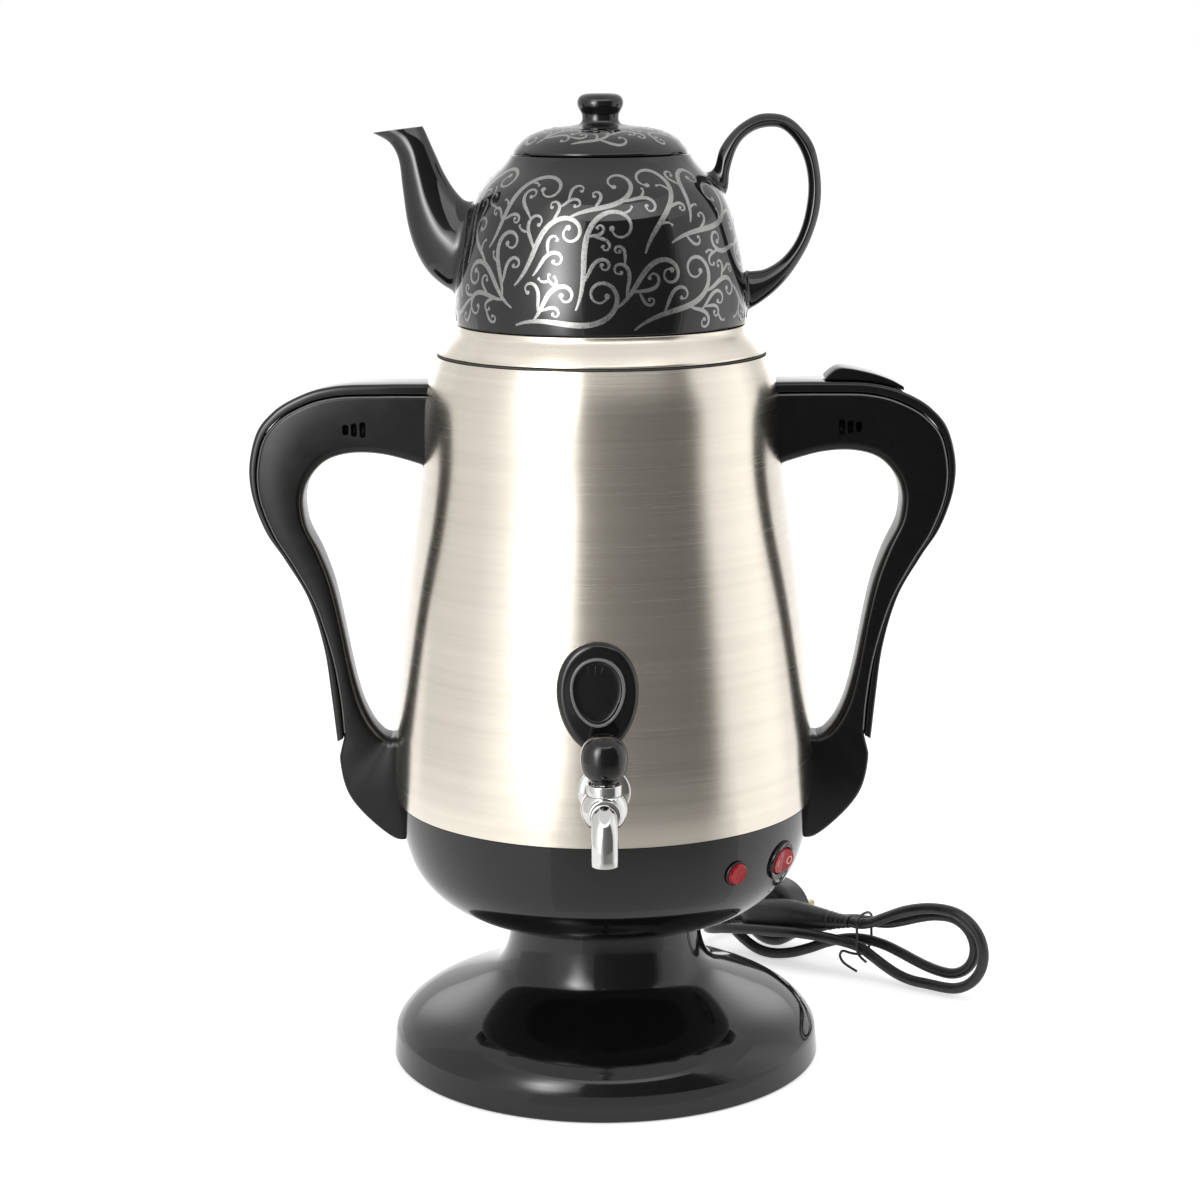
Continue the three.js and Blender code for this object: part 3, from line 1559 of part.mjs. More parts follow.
// Each row: place from the head to the cord, half height, half depth
const plugNeckShares = [
  [-0.2, 0.42, 0.6],
  [-0.09, 0.88, 0.95],
  [0.11, 1, 1],
  [0.31, 0.96, 0.98],
  [0.47, 0.82, 0.88],
  [0.67, 0.6, 0.72],
  [0.85, 0.42, 0.56],
  [1, 0.31, 0.42],
];
const hankFrame = new THREE.Matrix4()
  .makeBasis(hankAlong.clone().negate(), new THREE.Vector3(0, 0, 1), hankBack)
  .setPosition(hankPoint(headAlong, headUp, 0));

function plugBody() {
  const head = revolve(
    outlineOf([
      [headRadius * headFaceShare, headFront - headRounding],
      [headRadius, headFront + headRounding],
      [headRadius, headBack - headRounding / 2],
      [headRadius - headRounding / 2, headBack],
    ]),
    turnedSteps + smallSteps,
  ).applyMatrix4(hankFrame);
  const [startAlong, endUp, endBack] = hankStart;
  const endAlong = startAlong + gap;
  const neck = loft(
    plugNeckShares.map(([share, highShare, deepShare]) => {
      const back = endBack * Math.max(share, 0) ** 2;
      return Array.from({ length: plugNeckSides }, (_, i) => {
        const turn = (2 * Math.PI * i) / plugNeckSides;
        return hankPoint(
          headAlong + (endAlong - headAlong) * share,
          headUp + (endUp - headUp) * share + plugNeckHalfHeight * highShare * Math.cos(turn),
          back + plugNeckHalfDepth * deepShare * Math.sin(turn),
        );
      });
    }),
  );
  return join(head, neck);
}
add("plug_body", plugBody(), cordBlack);
[-1, 1].forEach((side, i) => {
  const pinOutline = outlineOf([
    [pinRadius, headBack + gap],
    [pinRadius, headBack + pinLength - pinRadius],
    [pinRadius / 2, headBack + pinLength],
  ]);
  const pin = revolve(pinOutline, smallSteps).translate((side * pinPitch) / 2, 0, 0);
  add(`plug_pin_${i + 1}`, pin.applyMatrix4(hankFrame), brass);
});

// Wire tie round the four strands at the waist, with both ends bent aside
const tieRadius = 0.6;
const tieSteps = 36;
const tieSides = 4;
const tieRoute = [
  [45.2, 4.4, -7.4],
  [49.6, 6.2, -7.8],
  [54, 8.6, -8],
  [56, 12, -8],
  [54.2, 15, -8.2],
  [50.5, 14.2, -6.6],
  [47, 13.1, -3.4],
  [45.2, 13, 0],
  [45, 14.4, 4.2],
  [45, 19, 8],
  [45, 26, 8],
  [45, 33.4, 8],
  [45, 36.2, 4],
  [45, 36.2, -4],
  [45, 33.4, -8.2],
  [45, 26, -8],
  [45, 18.4, -8],
  [44, 14.4, -7.6],
  [42, 12.4, -7.2],
  [39.4, 10.6, -6.8],
].map(([along, up, back]) => hankPoint(along, up, back));
const tieCurve = new THREE.CatmullRomCurve3(tieRoute, false, "centripetal");
add("twist_tie", tubeAlong(tieCurve.getSpacedPoints(tieSteps), tieRadius, tieSides), cordBlack);

export default scene;
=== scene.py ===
# %% [markdown]
# # An electric samovar with its teapot
# A samovar is a water heater for tea. A steel tank stands on a pedestal, water leaves by a
# tap, and a small pot of strong tea keeps warm on the lid. This lesson dresses its engineering
# model: each cell makes one piece, or one finish, in the place that the model gives it.
# Everything in Blender is in metres, so sizes in millimetres are multiplied by MM.

# %% Load the engineering model
import json
import math

import bmesh
import bpy
import numpy as np
from mathutils import Matrix, Vector


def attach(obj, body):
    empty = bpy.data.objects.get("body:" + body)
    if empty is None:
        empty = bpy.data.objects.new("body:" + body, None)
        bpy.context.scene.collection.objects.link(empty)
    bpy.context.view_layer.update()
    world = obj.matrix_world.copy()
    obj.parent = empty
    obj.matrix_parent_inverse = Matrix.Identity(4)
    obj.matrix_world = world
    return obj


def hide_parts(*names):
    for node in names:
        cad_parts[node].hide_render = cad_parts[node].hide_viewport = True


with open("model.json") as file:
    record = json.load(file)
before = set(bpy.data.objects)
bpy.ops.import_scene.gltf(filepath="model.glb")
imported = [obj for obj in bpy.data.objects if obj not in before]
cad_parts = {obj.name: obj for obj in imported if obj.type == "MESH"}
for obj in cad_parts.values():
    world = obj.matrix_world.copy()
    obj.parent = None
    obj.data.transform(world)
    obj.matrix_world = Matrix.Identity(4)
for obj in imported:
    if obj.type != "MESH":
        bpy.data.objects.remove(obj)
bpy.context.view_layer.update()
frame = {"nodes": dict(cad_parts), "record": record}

scene = bpy.context.scene
MM = 0.001

# %% [markdown]
# ## The camera
# The photograph was taken from in front and a little above. Its lens, height and tilt were
# worked out from the ovals that the round edges make, which fixes them better than the eye.

# %% Set up the camera
camera_back, camera_height, camera_down, camera_roll = 1.4, 0.52192, 0.199, 0.006
camera_data = bpy.data.cameras.new("studio_camera")
camera_data.sensor_width = 36.0
camera_data.lens = 83.73
camera_data.shift_x = -0.0027
camera_data.clip_end = 60.0
camera = bpy.data.objects.new("studio_camera", camera_data)
scene.collection.objects.link(camera)
tilt = Matrix.Rotation(math.pi / 2 - camera_down, 4, "X")
roll = Matrix.Rotation(-camera_roll, 4, "Z")
camera.matrix_world = Matrix.Translation((0.0, -camera_back, camera_height)) @ tilt @ roll
scene.camera = camera
scene.view_settings.view_transform = "Standard"
print("camera lens", camera_data.lens, "mm,", camera_back, "m in front of the samovar")

# %% [markdown]
# ## Lines and curves
# Most pieces start as a line of points. A centripetal Catmull-Rom spline runs through its
# points without loops, and `evenly` puts new points on a line at equal steps.


# %% Helpers for lines
def round_turns(count):
    """Angles evenly round a circle, without the last that would repeat the first."""
    return np.linspace(0, 2 * math.pi, count, endpoint=False)


def spline(points, steps):
    """A smooth line through the points, with this many steps between each two."""
    p = np.asarray(points, float)
    p = np.vstack([2 * p[0] - p[1], p, 2 * p[-1] - p[-2]])
    line = [p[1]]
    for i in range(1, len(p) - 2):
        a, b, c, d = p[i - 1 : i + 3]
        ta, tb, tc = (max(np.linalg.norm(w), 1e-9) ** 0.5 for w in (b - a, c - b, d - c))
        m = ((b - a) / ta - (c - a) / (ta + tb) + (c - b) / tb) * tb
        n = ((c - b) / tb - (d - b) / (tb + tc) + (d - c) / tc) * tb
        for k in range(1, steps + 1):
            t = k / steps
            line.append(b + m * t + (3 * (c - b) - 2 * m - n) * t**2 + (2 * (b - c) + m + n) * t**3)
    return np.array(line)


def lengths(line):
    """Distance along the line at each of its points."""
    return np.concatenate([[0.0], np.cumsum(np.linalg.norm(np.diff(line, axis=0), axis=1))])


def evenly(line, count):
    """The same line with count points at equal steps."""
    far = lengths(line)
    at = np.linspace(0, far[-1], count)
    return np.stack([np.interp(at, far, column) for column in np.asarray(line, float).T], axis=1)


def bends(pairs, steps):
    """Quadratic curves through start, control, end, control, end and so on."""
    p = np.asarray(pairs, float)
    line = [p[0]]
    for i in range(0, len(p) - 2, 2):
        for k in range(1, steps + 1):
            t = k / steps
            line.append((1 - t) ** 2 * p[i] + 2 * t * (1 - t) * p[i + 1] + t * t * p[i + 2])
    return np.array(line)


def eased(line, times):
    """The same line with its small corners worn round and its ends kept."""
    line = np.array(line, float)
    for _ in range(times):
        line[1:-1] = (line[:-2] + 2 * line[1:-1] + line[2:]) / 4
    return line


def shifted(line, distance):
    """The line moved to its left, seen along it from (r, z) to (r, z), by the distance."""
    along = np.gradient(line, axis=0)
    along /= np.linalg.norm(along, axis=1)[:, None]
    return line + distance * np.stack([-along[:, 1], along[:, 0]], axis=1)


def rounded(corners, steps=5):
    """An outline of (r, z, rounding) corners, each rounded by a small curve."""
    p = np.array([c[:2] for c in corners], float)
    line = []
    for i, corner in enumerate(corners):
        size = corner[2] if len(corner) > 2 else 0
        if size <= 0 or i in (0, len(corners) - 1):
            line.append(p[i])
            continue
        before, after = p[i - 1] - p[i], p[i + 1] - p[i]
        reach = min(size, np.linalg.norm(before) / 2, np.linalg.norm(after) / 2)
        first = p[i] + before / np.linalg.norm(before) * reach
        last = p[i] + after / np.linalg.norm(after) * reach
        line.extend(bends([first, p[i], last], steps))
    return np.array(line)


print("line helpers ready")

# %% [markdown]
# ## The mains cord
# The cord is a real length of flexible cable: it leaves the back of the bowl through a rubber
# boot, falls to the table, and is folded into a hank that a wire tie holds, with the plug on
# its end. The hank's route repeats the engineering model's points, so the cable lies where that
# one lies. It is made before the body because its place decides what the camera sees.

# %% The hank's own frame and its route
hank_x, hank_y, hank_cos, hank_sin = 183, 82, 0.816, 0.578
plug_along, plug_up, neck_along, neck_up = 112.5, 22.3, 52.3, 31.2


def in_hank(along, up, back):
    """A point of the upright plane in which the hank stands, in millimetres."""
    return np.array([hank_x - hank_cos * along + hank_sin * back,
                     hank_y + hank_sin * along + hank_cos * back, up])


def eased_run(start, end, steps):
    """Points on a run from one strand to another, with its bends at the two ends eased."""
    shares = [(i + 1) / (steps + 1) for i in range(steps)]
    lift = [(1 - math.cos(math.pi * s)) / 2 for s in shares]
    return [
        [start[0] + (end[0] - start[0]) * s, start[1] + (end[1] - start[1]) * e,
         start[2] + (end[2] - start[2]) * s]
        for s, e in zip(shares, lift)
    ]


def end_fold(along, up, back, reach, height, steps):
    """The half oval in which a strand turns back at the hank's end."""
    turns = [math.pi * i / steps for i in range(steps + 1)]
    return [[along - reach * math.sin(t), up + height * math.cos(t), back] for t in turns]


def plug_fold(along, up, back, radius, steps):
    """The fold round the plug, which lies level and sags a little."""
    turns = [math.pi * i / steps for i in range(steps + 1)]
    return [
        [along + radius * math.sin(t), up + 1.75 * math.cos(t) - 5 * math.sin(t), back - radius * math.cos(t)]
        for t in turns
    ]


outer_fold = end_fold(-9, 26.6, -3.2, 23, 22.4, 12)
inner_fold = end_fold(-6.2, 26.7, 3.4, 17, 16.4, 10)
hank_route = [
    [52, 31.2, -3.5], [46, 31.2, -3.5], [38, 33.6, -3.5], [29.8, 37.8, -3.4], [17.4, 43.8, -3.3],
    [3, 48, -3.2], *outer_fold, [3, 4.2, -3.2], [12, 4.3, -3.2], [20, 5.8, -3.3], [29, 9.3, -3.4],
    [37, 13.4, -3.5], [46, 17.5, -3.5], [60, 20.2, -6.6], [79, 21.4, -10.9], [96, 20.2, -12.2],
    [114, 18, -12.2], *plug_fold(132, 13.4, 8.2, 20, 8), [120, 13.2, 28.2], [108, 15, 27.2],
    [99, 15.8, 26.6], [91, 17.4, 24.8], [82, 20.6, 19.4], [72, 24, 13.4], [61, 28, 8.4], [52, 30.5, 5],
    [46, 31.2, 3.5], *eased_run([42, 31.2, 3.5], inner_fold[0], 4), *inner_fold,
    *eased_run(inner_fold[10], [44, 20.2, 3.5], 4), [46, 20.2, 3.5], [58, 18.6, 3.2], [70, 14.6, 1.6],
    [82, 9, -0.4], [93, 5, -2.4], [104, 3.2, -3.8], [113, 4.2, -4.4], [122, 8.2, -4.4], [129, 13, -4.2],
    [135, 18.5, -3.6],
]
hank_points = np.array([in_hank(*p) for p in hank_route])
print("hank route:", len(hank_points), "points")

# %% [markdown]
# A tube is a row of rings. Each ring faces along the line, and turns as little as it can from
# the ring before it, so that the tube doesn't twist. The ends are closed with a small fan.


# %% Helpers that build closed meshes
def turn_outwards(mesh, merge=0.0):
    """Turns the faces outwards, after merging the points that are closer than merge."""
    work = bmesh.new()
    work.from_mesh(mesh)
    if merge > 0:
        bmesh.ops.remove_doubles(work, verts=work.verts, dist=merge)
    bmesh.ops.recalc_face_normals(work, faces=work.faces)
    work.to_mesh(mesh)
    work.free()


def applied(piece):
    """The piece with its modifiers made into real faces."""
    bpy.context.view_layer.update()
    mesh = bpy.data.meshes.new_from_object(piece.evaluated_get(bpy.context.evaluated_depsgraph_get()))
    piece.modifiers.clear()
    piece.data = mesh
    return piece


def mesh_piece(name, points, faces, material=None, smooth_below=40.0):
    """A new object from points in metres and faces, with its faces turned outwards."""
    mesh = bpy.data.meshes.new(name)
    mesh.from_pydata([tuple(p) for p in points], [], faces)
    turn_outwards(mesh, 1e-7)
    piece = bpy.data.objects.new(name, mesh)
    scene.collection.objects.link(piece)
    return finished(piece, material, smooth_below)


def finished(piece, material=None, smooth_below=40.0):
    """Smooth shading with crisp edges where faces meet sharply, and the material."""
    mesh = piece.data
    mesh.shade_smooth()
    mesh.set_sharp_from_angle(angle=math.radians(smooth_below))
    if material is not None:
        mesh.materials.clear()
        mesh.materials.append(material)
    return piece


def ring_faces(rings, around, closed=True):
    """Quads between rings of points, and a fan over each end when the row isn't a loop."""
    faces = []
    for i in range(rings - 1):
        for j in range(around):
            a, b = i * around + j, i * around + (j + 1) % around
            faces.append((a, b, b + around, a + around))
    if closed:
        last = (rings - 1) * around
        faces.append(tuple(range(around - 1, -1, -1)))
        faces.append(tuple(range(last, last + around)))
    return faces


def tube_rings(line, radii, sides):
    """Rings along a line in space. radii is one radius, or one for each point."""
    line = np.asarray(line, float)
    radii = np.broadcast_to(radii, len(line))
    along = np.gradient(line, axis=0)
    along /= np.linalg.norm(along, axis=1)[:, None]
    side = np.cross(along[0], [0.31, 0.77, 0.56])
    turns = round_turns(sides)
    rings = []
    for point, way, radius in zip(line, along, radii):
        side = side - way * side.dot(way)
        side /= np.linalg.norm(side)
        other = np.cross(way, side)
        rings.append(point + radius * (np.cos(turns)[:, None] * side + np.sin(turns)[:, None] * other))
    return np.array(rings)


def tube(name, line, radii, sides, material=None):
    rings = tube_rings(line, radii, sides)
    return mesh_piece(name, rings.reshape(-1, 3) * MM, ring_faces(len(rings), sides), material)


print("mesh helpers ready")

# %% [markdown]
# ## Finishes
# Each finish is a small node tree on one shader. Object coordinates keep a grain at its real
# size, whatever the piece, and noise that is stretched along one axis becomes brush lines.


# %% Helpers for materials
def shader_of(name, colour, roughness, metallic=0.0, **sockets):
    """A material with one Principled shader, and its plain values on the shader's sockets."""
    material = bpy.data.materials.new(name)
    material.use_nodes = True
    shader = material.node_tree.nodes["Principled BSDF"]
    shader.inputs["Base Color"].default_value = (*colour, 1.0)
    shader.inputs["Roughness"].default_value = roughness
    shader.inputs["Metallic"].default_value = metallic
    for socket, value in sockets.items():
        shader.inputs[socket.replace("_", " ")].default_value = value
    return material


def node(material, kind, **settings):
    made = material.node_tree.nodes.new(kind)
    for key, value in settings.items():
        if key in made.inputs:
            made.inputs[key].default_value = value
        else:
            setattr(made, key, value)
    return made


def wire(material, *ends):
    for start, end in zip(ends[::2], ends[1::2]):
        material.node_tree.links.new(start, end)


def grain(material, stretch=(1, 1, 1), size=800.0, detail=3.0, rough=0.5):
    """A noise on Object coordinates, with its output between 0 and 1."""
    place = node(material, "ShaderNodeTexCoord")
    mapping = node(material, "ShaderNodeMapping")
    mapping.inputs["Scale"].default_value = stretch
    noise = node(material, "ShaderNodeTexNoise", Scale=size, Detail=detail, Roughness=rough)
    wire(material, place.outputs["Object"], mapping.inputs["Vector"], mapping.outputs["Vector"],
         noise.inputs["Vector"])
    return noise.outputs["Fac"]


def spread(material, source, low, high, socket):
    """Sends a noise to one of the shader's number sockets, between two values."""
    ranged = node(material, "ShaderNodeMapRange")
    for key, value in {"From Min": 0.3, "From Max": 0.7, "To Min": low, "To Max": high}.items():
        ranged.inputs[key].default_value = value
    shader = material.node_tree.nodes["Principled BSDF"]
    wire(material, source, ranged.inputs["Value"], ranged.outputs["Result"], shader.inputs[socket])


def tint(material, source, dark, light):
    """Two close tones of the base colour, mixed by a noise."""
    ramp = node(material, "ShaderNodeValToRGB")
    ramp.color_ramp.elements[0].position, ramp.color_ramp.elements[1].position = 0.3, 0.7
    ramp.color_ramp.elements[0].color = (*dark, 1.0)
    ramp.color_ramp.elements[1].color = (*light, 1.0)
    shader = material.node_tree.nodes["Principled BSDF"]
    wire(material, source, ramp.inputs["Fac"], ramp.outputs["Color"], shader.inputs["Base Color"])


def relief(material, source, strength, depth):
    """A bump: strength from 0 to 1 and the depth of the marks in metres."""
    bump = node(material, "ShaderNodeBump", Strength=strength, Distance=depth)
    shader = material.node_tree.nodes["Principled BSDF"]
    wire(material, source, bump.inputs["Height"], bump.outputs["Normal"], shader.inputs["Normal"])
    return bump


print("material helpers ready")

# %% [markdown]
# ### Brushed steel
# The tank is brushed round and round, so its scratches are long level lines. A noise with a
# very small step in height and a large one across gives them. They tint the metal a little,
# change its roughness and stand as a faint relief, which smears reflections up and down.

# %% Brushed steel
brushed_steel = shader_of("brushed_steel", (0.71, 0.655, 0.57), 0.25, 1.0, Anisotropic=0.75,
                          Anisotropic_Rotation=0.25)
fine_lines = grain(brushed_steel, (7, 7, 1900), 1.0, 4.0, 0.65)
broad_lines = grain(brushed_steel, (2, 2, 160), 1.0, 3.0, 0.6)
spread(brushed_steel, fine_lines, 0.21, 0.28, "Roughness")
tint(brushed_steel, broad_lines, (0.676, 0.623, 0.541), (0.744, 0.687, 0.599))
relief(brushed_steel, fine_lines, 0.07, 0.0001)
print("brushed steel: lines about", round(1000 / 1900, 2), "mm apart")

# %% [markdown]
# ### Black plastics, glaze and metals
# The pedestal and bowl are polished plastic: nearly black, with a clear reflection that a very
# shallow ripple makes a little uneven. The handles have a finer, duller surface. The teapot's
# glaze is deeper and smoother, and pooled glaze gives it long soft waves.


# %% Black plastics
def worn_finish(name, colour, roughness, metallic=0.0, wear=None, tones=None, marks=None, **sockets):
    """A finish with up to three noises, each given by its size and then its effect.

    wear: lowest and highest roughness. tones: a darker and a lighter colour. marks: the
    noise's detail, the strength of the relief and its depth in metres.
    """
    material = shader_of(name, colour, roughness, metallic, **sockets)
    if wear:
        size, low, high = wear
        spread(material, grain(material, size=size), low, high, "Roughness")
    if tones:
        size, dark, light = tones
        tint(material, grain(material, size=size), dark, light)
    if marks:
        size, detail, strength, depth = marks
        relief(material, grain(material, size=size, detail=detail), strength, depth)
    return material


gloss_black = worn_finish(
    "gloss_black", (0.005, 0.005, 0.005), 0.06, IOR=1.47, wear=(60.0, 0.05, 0.1),
    tones=(240.0, (0.0045, 0.0044, 0.0042), (0.0062, 0.006, 0.0058)), marks=(90.0, 1.0, 0.05, 0.0004))
satin_black = worn_finish(
    "satin_black", (0.004, 0.004, 0.004), 0.2, IOR=1.36, wear=(90.0, 0.17, 0.24),
    tones=(300.0, (0.0032, 0.0032, 0.0032), (0.005, 0.005, 0.005)), marks=(2600.0, 2.0, 0.12, 0.0001))
black_glaze = worn_finish(
    "black_glaze", (0.005, 0.005, 0.006), 0.035, IOR=1.54, wear=(45.0, 0.025, 0.05),
    tones=(160.0, (0.0045, 0.0045, 0.0055), (0.0065, 0.0065, 0.0075)), marks=(26.0, 1.0, 0.06, 0.001))
silver_print = worn_finish(
    "silver_print", (0.3, 0.3, 0.295), 0.27, 0.9, IOR=1.5, wear=(500.0, 0.22, 0.34),
    tones=(900.0, (0.26, 0.26, 0.255), (0.34, 0.34, 0.33)))
# Painted highlight: a pale grey finish for the beads on the handle seams and on the badge ring.
painted_highlight = worn_finish("painted_highlight", (0.16, 0.16, 0.156), 0.3, wear=(300.0, 0.24, 0.4))
print("black finishes:", gloss_black.name, satin_black.name, black_glaze.name, silver_print.name)

# %% Metals, rubbers and the red plastic
chrome = worn_finish("chrome", (0.6, 0.6, 0.59), 0.05, 1.0, wear=(120.0, 0.035, 0.08),
                     tones=(60.0, (0.56, 0.56, 0.55), (0.64, 0.64, 0.63)))
zinc_steel = worn_finish("zinc_steel", (0.6, 0.6, 0.58), 0.35, 1.0, wear=(700.0, 0.28, 0.45),
                         tones=(350.0, (0.53, 0.53, 0.5), (0.66, 0.66, 0.64)))
brass = worn_finish("brass", (0.5, 0.42, 0.26), 0.3, 1.0, wear=(500.0, 0.18, 0.35),
                    tones=(200.0, (0.44, 0.36, 0.22), (0.54, 0.46, 0.3)))
pad_rubber = worn_finish("pad_rubber", (0.02, 0.02, 0.02), 0.8,
                         tones=(900.0, (0.014, 0.014, 0.014), (0.028, 0.028, 0.028)),
                         marks=(3000.0, 3.0, 0.3, 0.0002))
seal_rubber = worn_finish("seal_rubber", (0.03, 0.03, 0.03), 0.6,
                          tones=(500.0, (0.022, 0.022, 0.022), (0.04, 0.04, 0.04)))
cord_black = worn_finish("cord_black", (0.012, 0.012, 0.013), 0.36, IOR=1.5, wear=(220.0, 0.3, 0.46),
                         tones=(500.0, (0.009, 0.009, 0.010), (0.017, 0.017, 0.018)),
                         marks=(1500.0, 3.0, 0.15, 0.00015))
red_clear = worn_finish("red_clear", (0.42, 0.012, 0.016), 0.1, IOR=1.34, Transmission_Weight=0.15,
                        tones=(420.0, (0.34, 0.006, 0.01), (0.52, 0.02, 0.026)),
                        marks=(900.0, 1.0, 0.1, 0.0003))

finish_of_slot = {
    "brushed_steel": brushed_steel, "gloss_black": gloss_black, "satin_black": satin_black,
    "black_glaze": black_glaze, "chrome": chrome, "red_clear": red_clear, "pad_rubber": pad_rubber,
    "seal_rubber": seal_rubber, "zinc_steel": zinc_steel, "brass": brass, "cord_black": cord_black,
}
print("finishes for", len(finish_of_slot), "slots")

# %% [markdown]
# ## Laying the cable
# One smooth line runs from the boot's tip, down the lead and all through the hank to the plug.
# A round tube follows it, with a step short enough for its tightest fold to stay round. A known
# fault: the line starts 3.6 mm below the middle of the tip, which is at (0, 132.3, 102.0), so
# from behind the cable is seen to start beside the boot's opening.

# %% The cable
boot_tip = np.array([0.0, 133.55, 98.58])
lead_points = [
    [0, 145.0, 95.6 + 1.5], [3, 160, 95.5], [10, 169.5, 85], [20, 175, 71], [32, 176, 57.5],
    [45, 173.5, 45.5], [57, 168, 34.5],
]
hank_end, before_end = hank_points[-1], hank_points[-2]
onward = (hank_end - before_end) / np.linalg.norm(hank_end - before_end)
cable_line = spline([boot_tip, *lead_points, hank_end + 6 * onward, *hank_points[::-1]], 10)
cable_length = lengths(cable_line)[-1]
cable_line = evenly(cable_line, int(cable_length / 1.8))
mains_cord = tube("mains_cord", cable_line, 3.0, 16, cord_black)
print("cable length in mm:", round(cable_length, 1))

# %% [markdown]
# ## The plug, its pins and the wire tie
# The plug is a round moulded head with two pins, and a neck that tapers into the cable. Rings
# of points are set across the neck from wide to narrow. A few hooped grooves near the cable
# let the neck bend without cracking.


# %% The plug
def rings_piece(name, rings, material=None, smooth_below=40.0):
    rings = np.asarray(rings)
    return mesh_piece(name, rings.reshape(-1, 3) * MM, ring_faces(*rings.shape[:2]), material, smooth_below)


def joined(name, *pieces):
    """One object from several, in the first one's place."""
    with bpy.context.temp_override(active_object=pieces[0], selected_editable_objects=list(pieces)):
        bpy.ops.object.join()
    pieces[0].name = name
    return pieces[0]


def turned_rings(outline, sides, frame_matrix):
    """Rings of a turned form whose (r, z) outline stands in the given frame, in millimetres."""
    turns = round_turns(sides)
    rings = []
    for radius, height in outline:
        ring = np.stack([radius * np.cos(turns), radius * np.sin(turns), np.full(sides, height)], axis=1)
        rings.append(ring @ frame_matrix[:3, :3].T + frame_matrix[:3, 3])
    return np.array(rings)


hank_frame = np.eye(4)
hank_frame[:3, :3] = np.stack([[hank_cos, -hank_sin, 0], [0, 0, 1], [hank_sin, hank_cos, 0]], axis=1)
hank_frame[:3, 3] = in_hank(plug_along, plug_up, 0)
head_outline = rounded([(0.01, 3.5), (15.2, 3.5, 2.5), (19.3, 7, 2.5), (19.3, 22, 1.2), (0.01, 22)], 4)
plug_head = rings_piece("plug_head", turned_rings(head_outline, 48, hank_frame), cord_black)

neck_rows = spline(
    [[-0.2, 0.42, 0.6], [-0.09, 0.88, 0.95], [0.11, 1, 1], [0.31, 0.96, 0.98], [0.47, 0.82, 0.88],
     [0.67, 0.6, 0.72], [0.85, 0.42, 0.56], [1, 0.31, 0.42]], 9
)
neck_turns = round_turns(36)
neck_half_height, neck_half_depth = 11.4, 8.4
neck_rings = []
for share, high, deep in neck_rows:
    groove = 0.93 if 0.72 < share < 0.97 and (share * 20) % 1 < 0.4 else 1.0
    back = -3.5 * max(share, 0) ** 2
    along, up = plug_along + (neck_along - plug_along) * share, plug_up + (neck_up - plug_up) * share
    neck_rings.append([
        in_hank(along, up + neck_half_height * high * groove * math.cos(t),
                back + neck_half_depth * deep * groove * math.sin(t))
        for t in neck_turns
    ])
plug_neck = rings_piece("plug_neck", neck_rings, cord_black)
plug = joined("plug_body_moulded", plug_head, plug_neck)
print("plug:", len(plug.data.polygons), "faces")

# %% The pins and the wire tie
pin_outline = rounded([(0.01, 22.3), (2.4, 22.3), (2.4, 38.6, 1.2), (1.0, 41, 0.8), (0.01, 41)], 4)
pins, pin_offset = [], 9.5
for number, side in enumerate((-1, 1), start=1):
    pin_frame = hank_frame.copy()
    pin_frame[:3, 3] += pin_frame[:3, 0] * side * pin_offset
    pins.append(rings_piece(f"plug_pin_round_{number}", turned_rings(pin_outline, 24, pin_frame), brass))
tie_route = [
    [45.2, 4.4, -7.4], [49.6, 6.2, -7.8], [54, 8.6, -8], [56, 12, -8], [54.2, 15, -8.2], [50.5, 14.2, -6.6],
    [47, 13.1, -3.4], [45.2, 13, 0], [45, 14.4, 4.2], [45, 19, 8], [45, 26, 8], [45, 33.4, 8], [45, 36.2, 4],
    [45, 36.2, -4], [45, 33.4, -8.2], [45, 26, -8], [45, 18.4, -8], [44, 14.4, -7.6], [42, 12.4, -7.2],
    [39.4, 10.6, -6.8],
]
tie_line = evenly(spline([in_hank(*p) for p in tie_route], 8), 110)
wire_tie = tube("wire_tie", tie_line, 0.75, 10, cord_black)
print("pins and tie made")

# %% [markdown]
# ## A lathe in Geometry Nodes
# The tank, foot, bowl, lid and teapot follow one rule: an outline turned about the upright
# axis. So one node tree makes them all. It lays out a grid with one row of points for each
# place round the axis, reads the outline's radius and height for each point, moves the point
# there, and merges the seam and the poles. The tree ends in Realize Instances and Set
# Material, because an exported model keeps only real faces.


# %% The lathe tree
def new_tree(name, numbers=()):
    tree = bpy.data.node_groups.new(name, "GeometryNodeTree")
    face = tree.interface
    face.new_socket("Geometry", in_out="INPUT", socket_type="NodeSocketGeometry")
    for label, kind, value in numbers:
        face.new_socket(label, in_out="INPUT", socket_type=kind).default_value = value
    face.new_socket("Material", in_out="INPUT", socket_type="NodeSocketMaterial")
    face.new_socket("Geometry", in_out="OUTPUT", socket_type="NodeSocketGeometry")
    return tree, tree.nodes.new("NodeGroupInput"), tree.nodes.new("NodeGroupOutput")


def step(tree, kind, *links, **settings):
    """Adds a node. links are (input name or number, output socket) pairs."""
    made = tree.nodes.new(kind)
    for key, value in settings.items():
        setattr(made, key, value)
    for socket, source in links:
        if hasattr(source, "links"):
            tree.links.new(source, made.inputs[socket])
        else:
            made.inputs[socket].default_value = source
    return made


def calc(tree, operation, *values):
    """The outcome of a Math node. values are numbers or output sockets."""
    return step(tree, "ShaderNodeMath", *enumerate(values), operation=operation).outputs[0]


def end_tree(tree, geometry, group_in, group_out):
    """Every tree ends alike: real geometry that carries its material."""
    real = step(tree, "GeometryNodeRealizeInstances", ("Geometry", geometry)).outputs[0]
    coated = step(tree, "GeometryNodeSetMaterial", ("Geometry", real),
                  ("Material", group_in.outputs["Material"]))
    tree.links.new(coated.outputs[0], group_out.inputs[0])


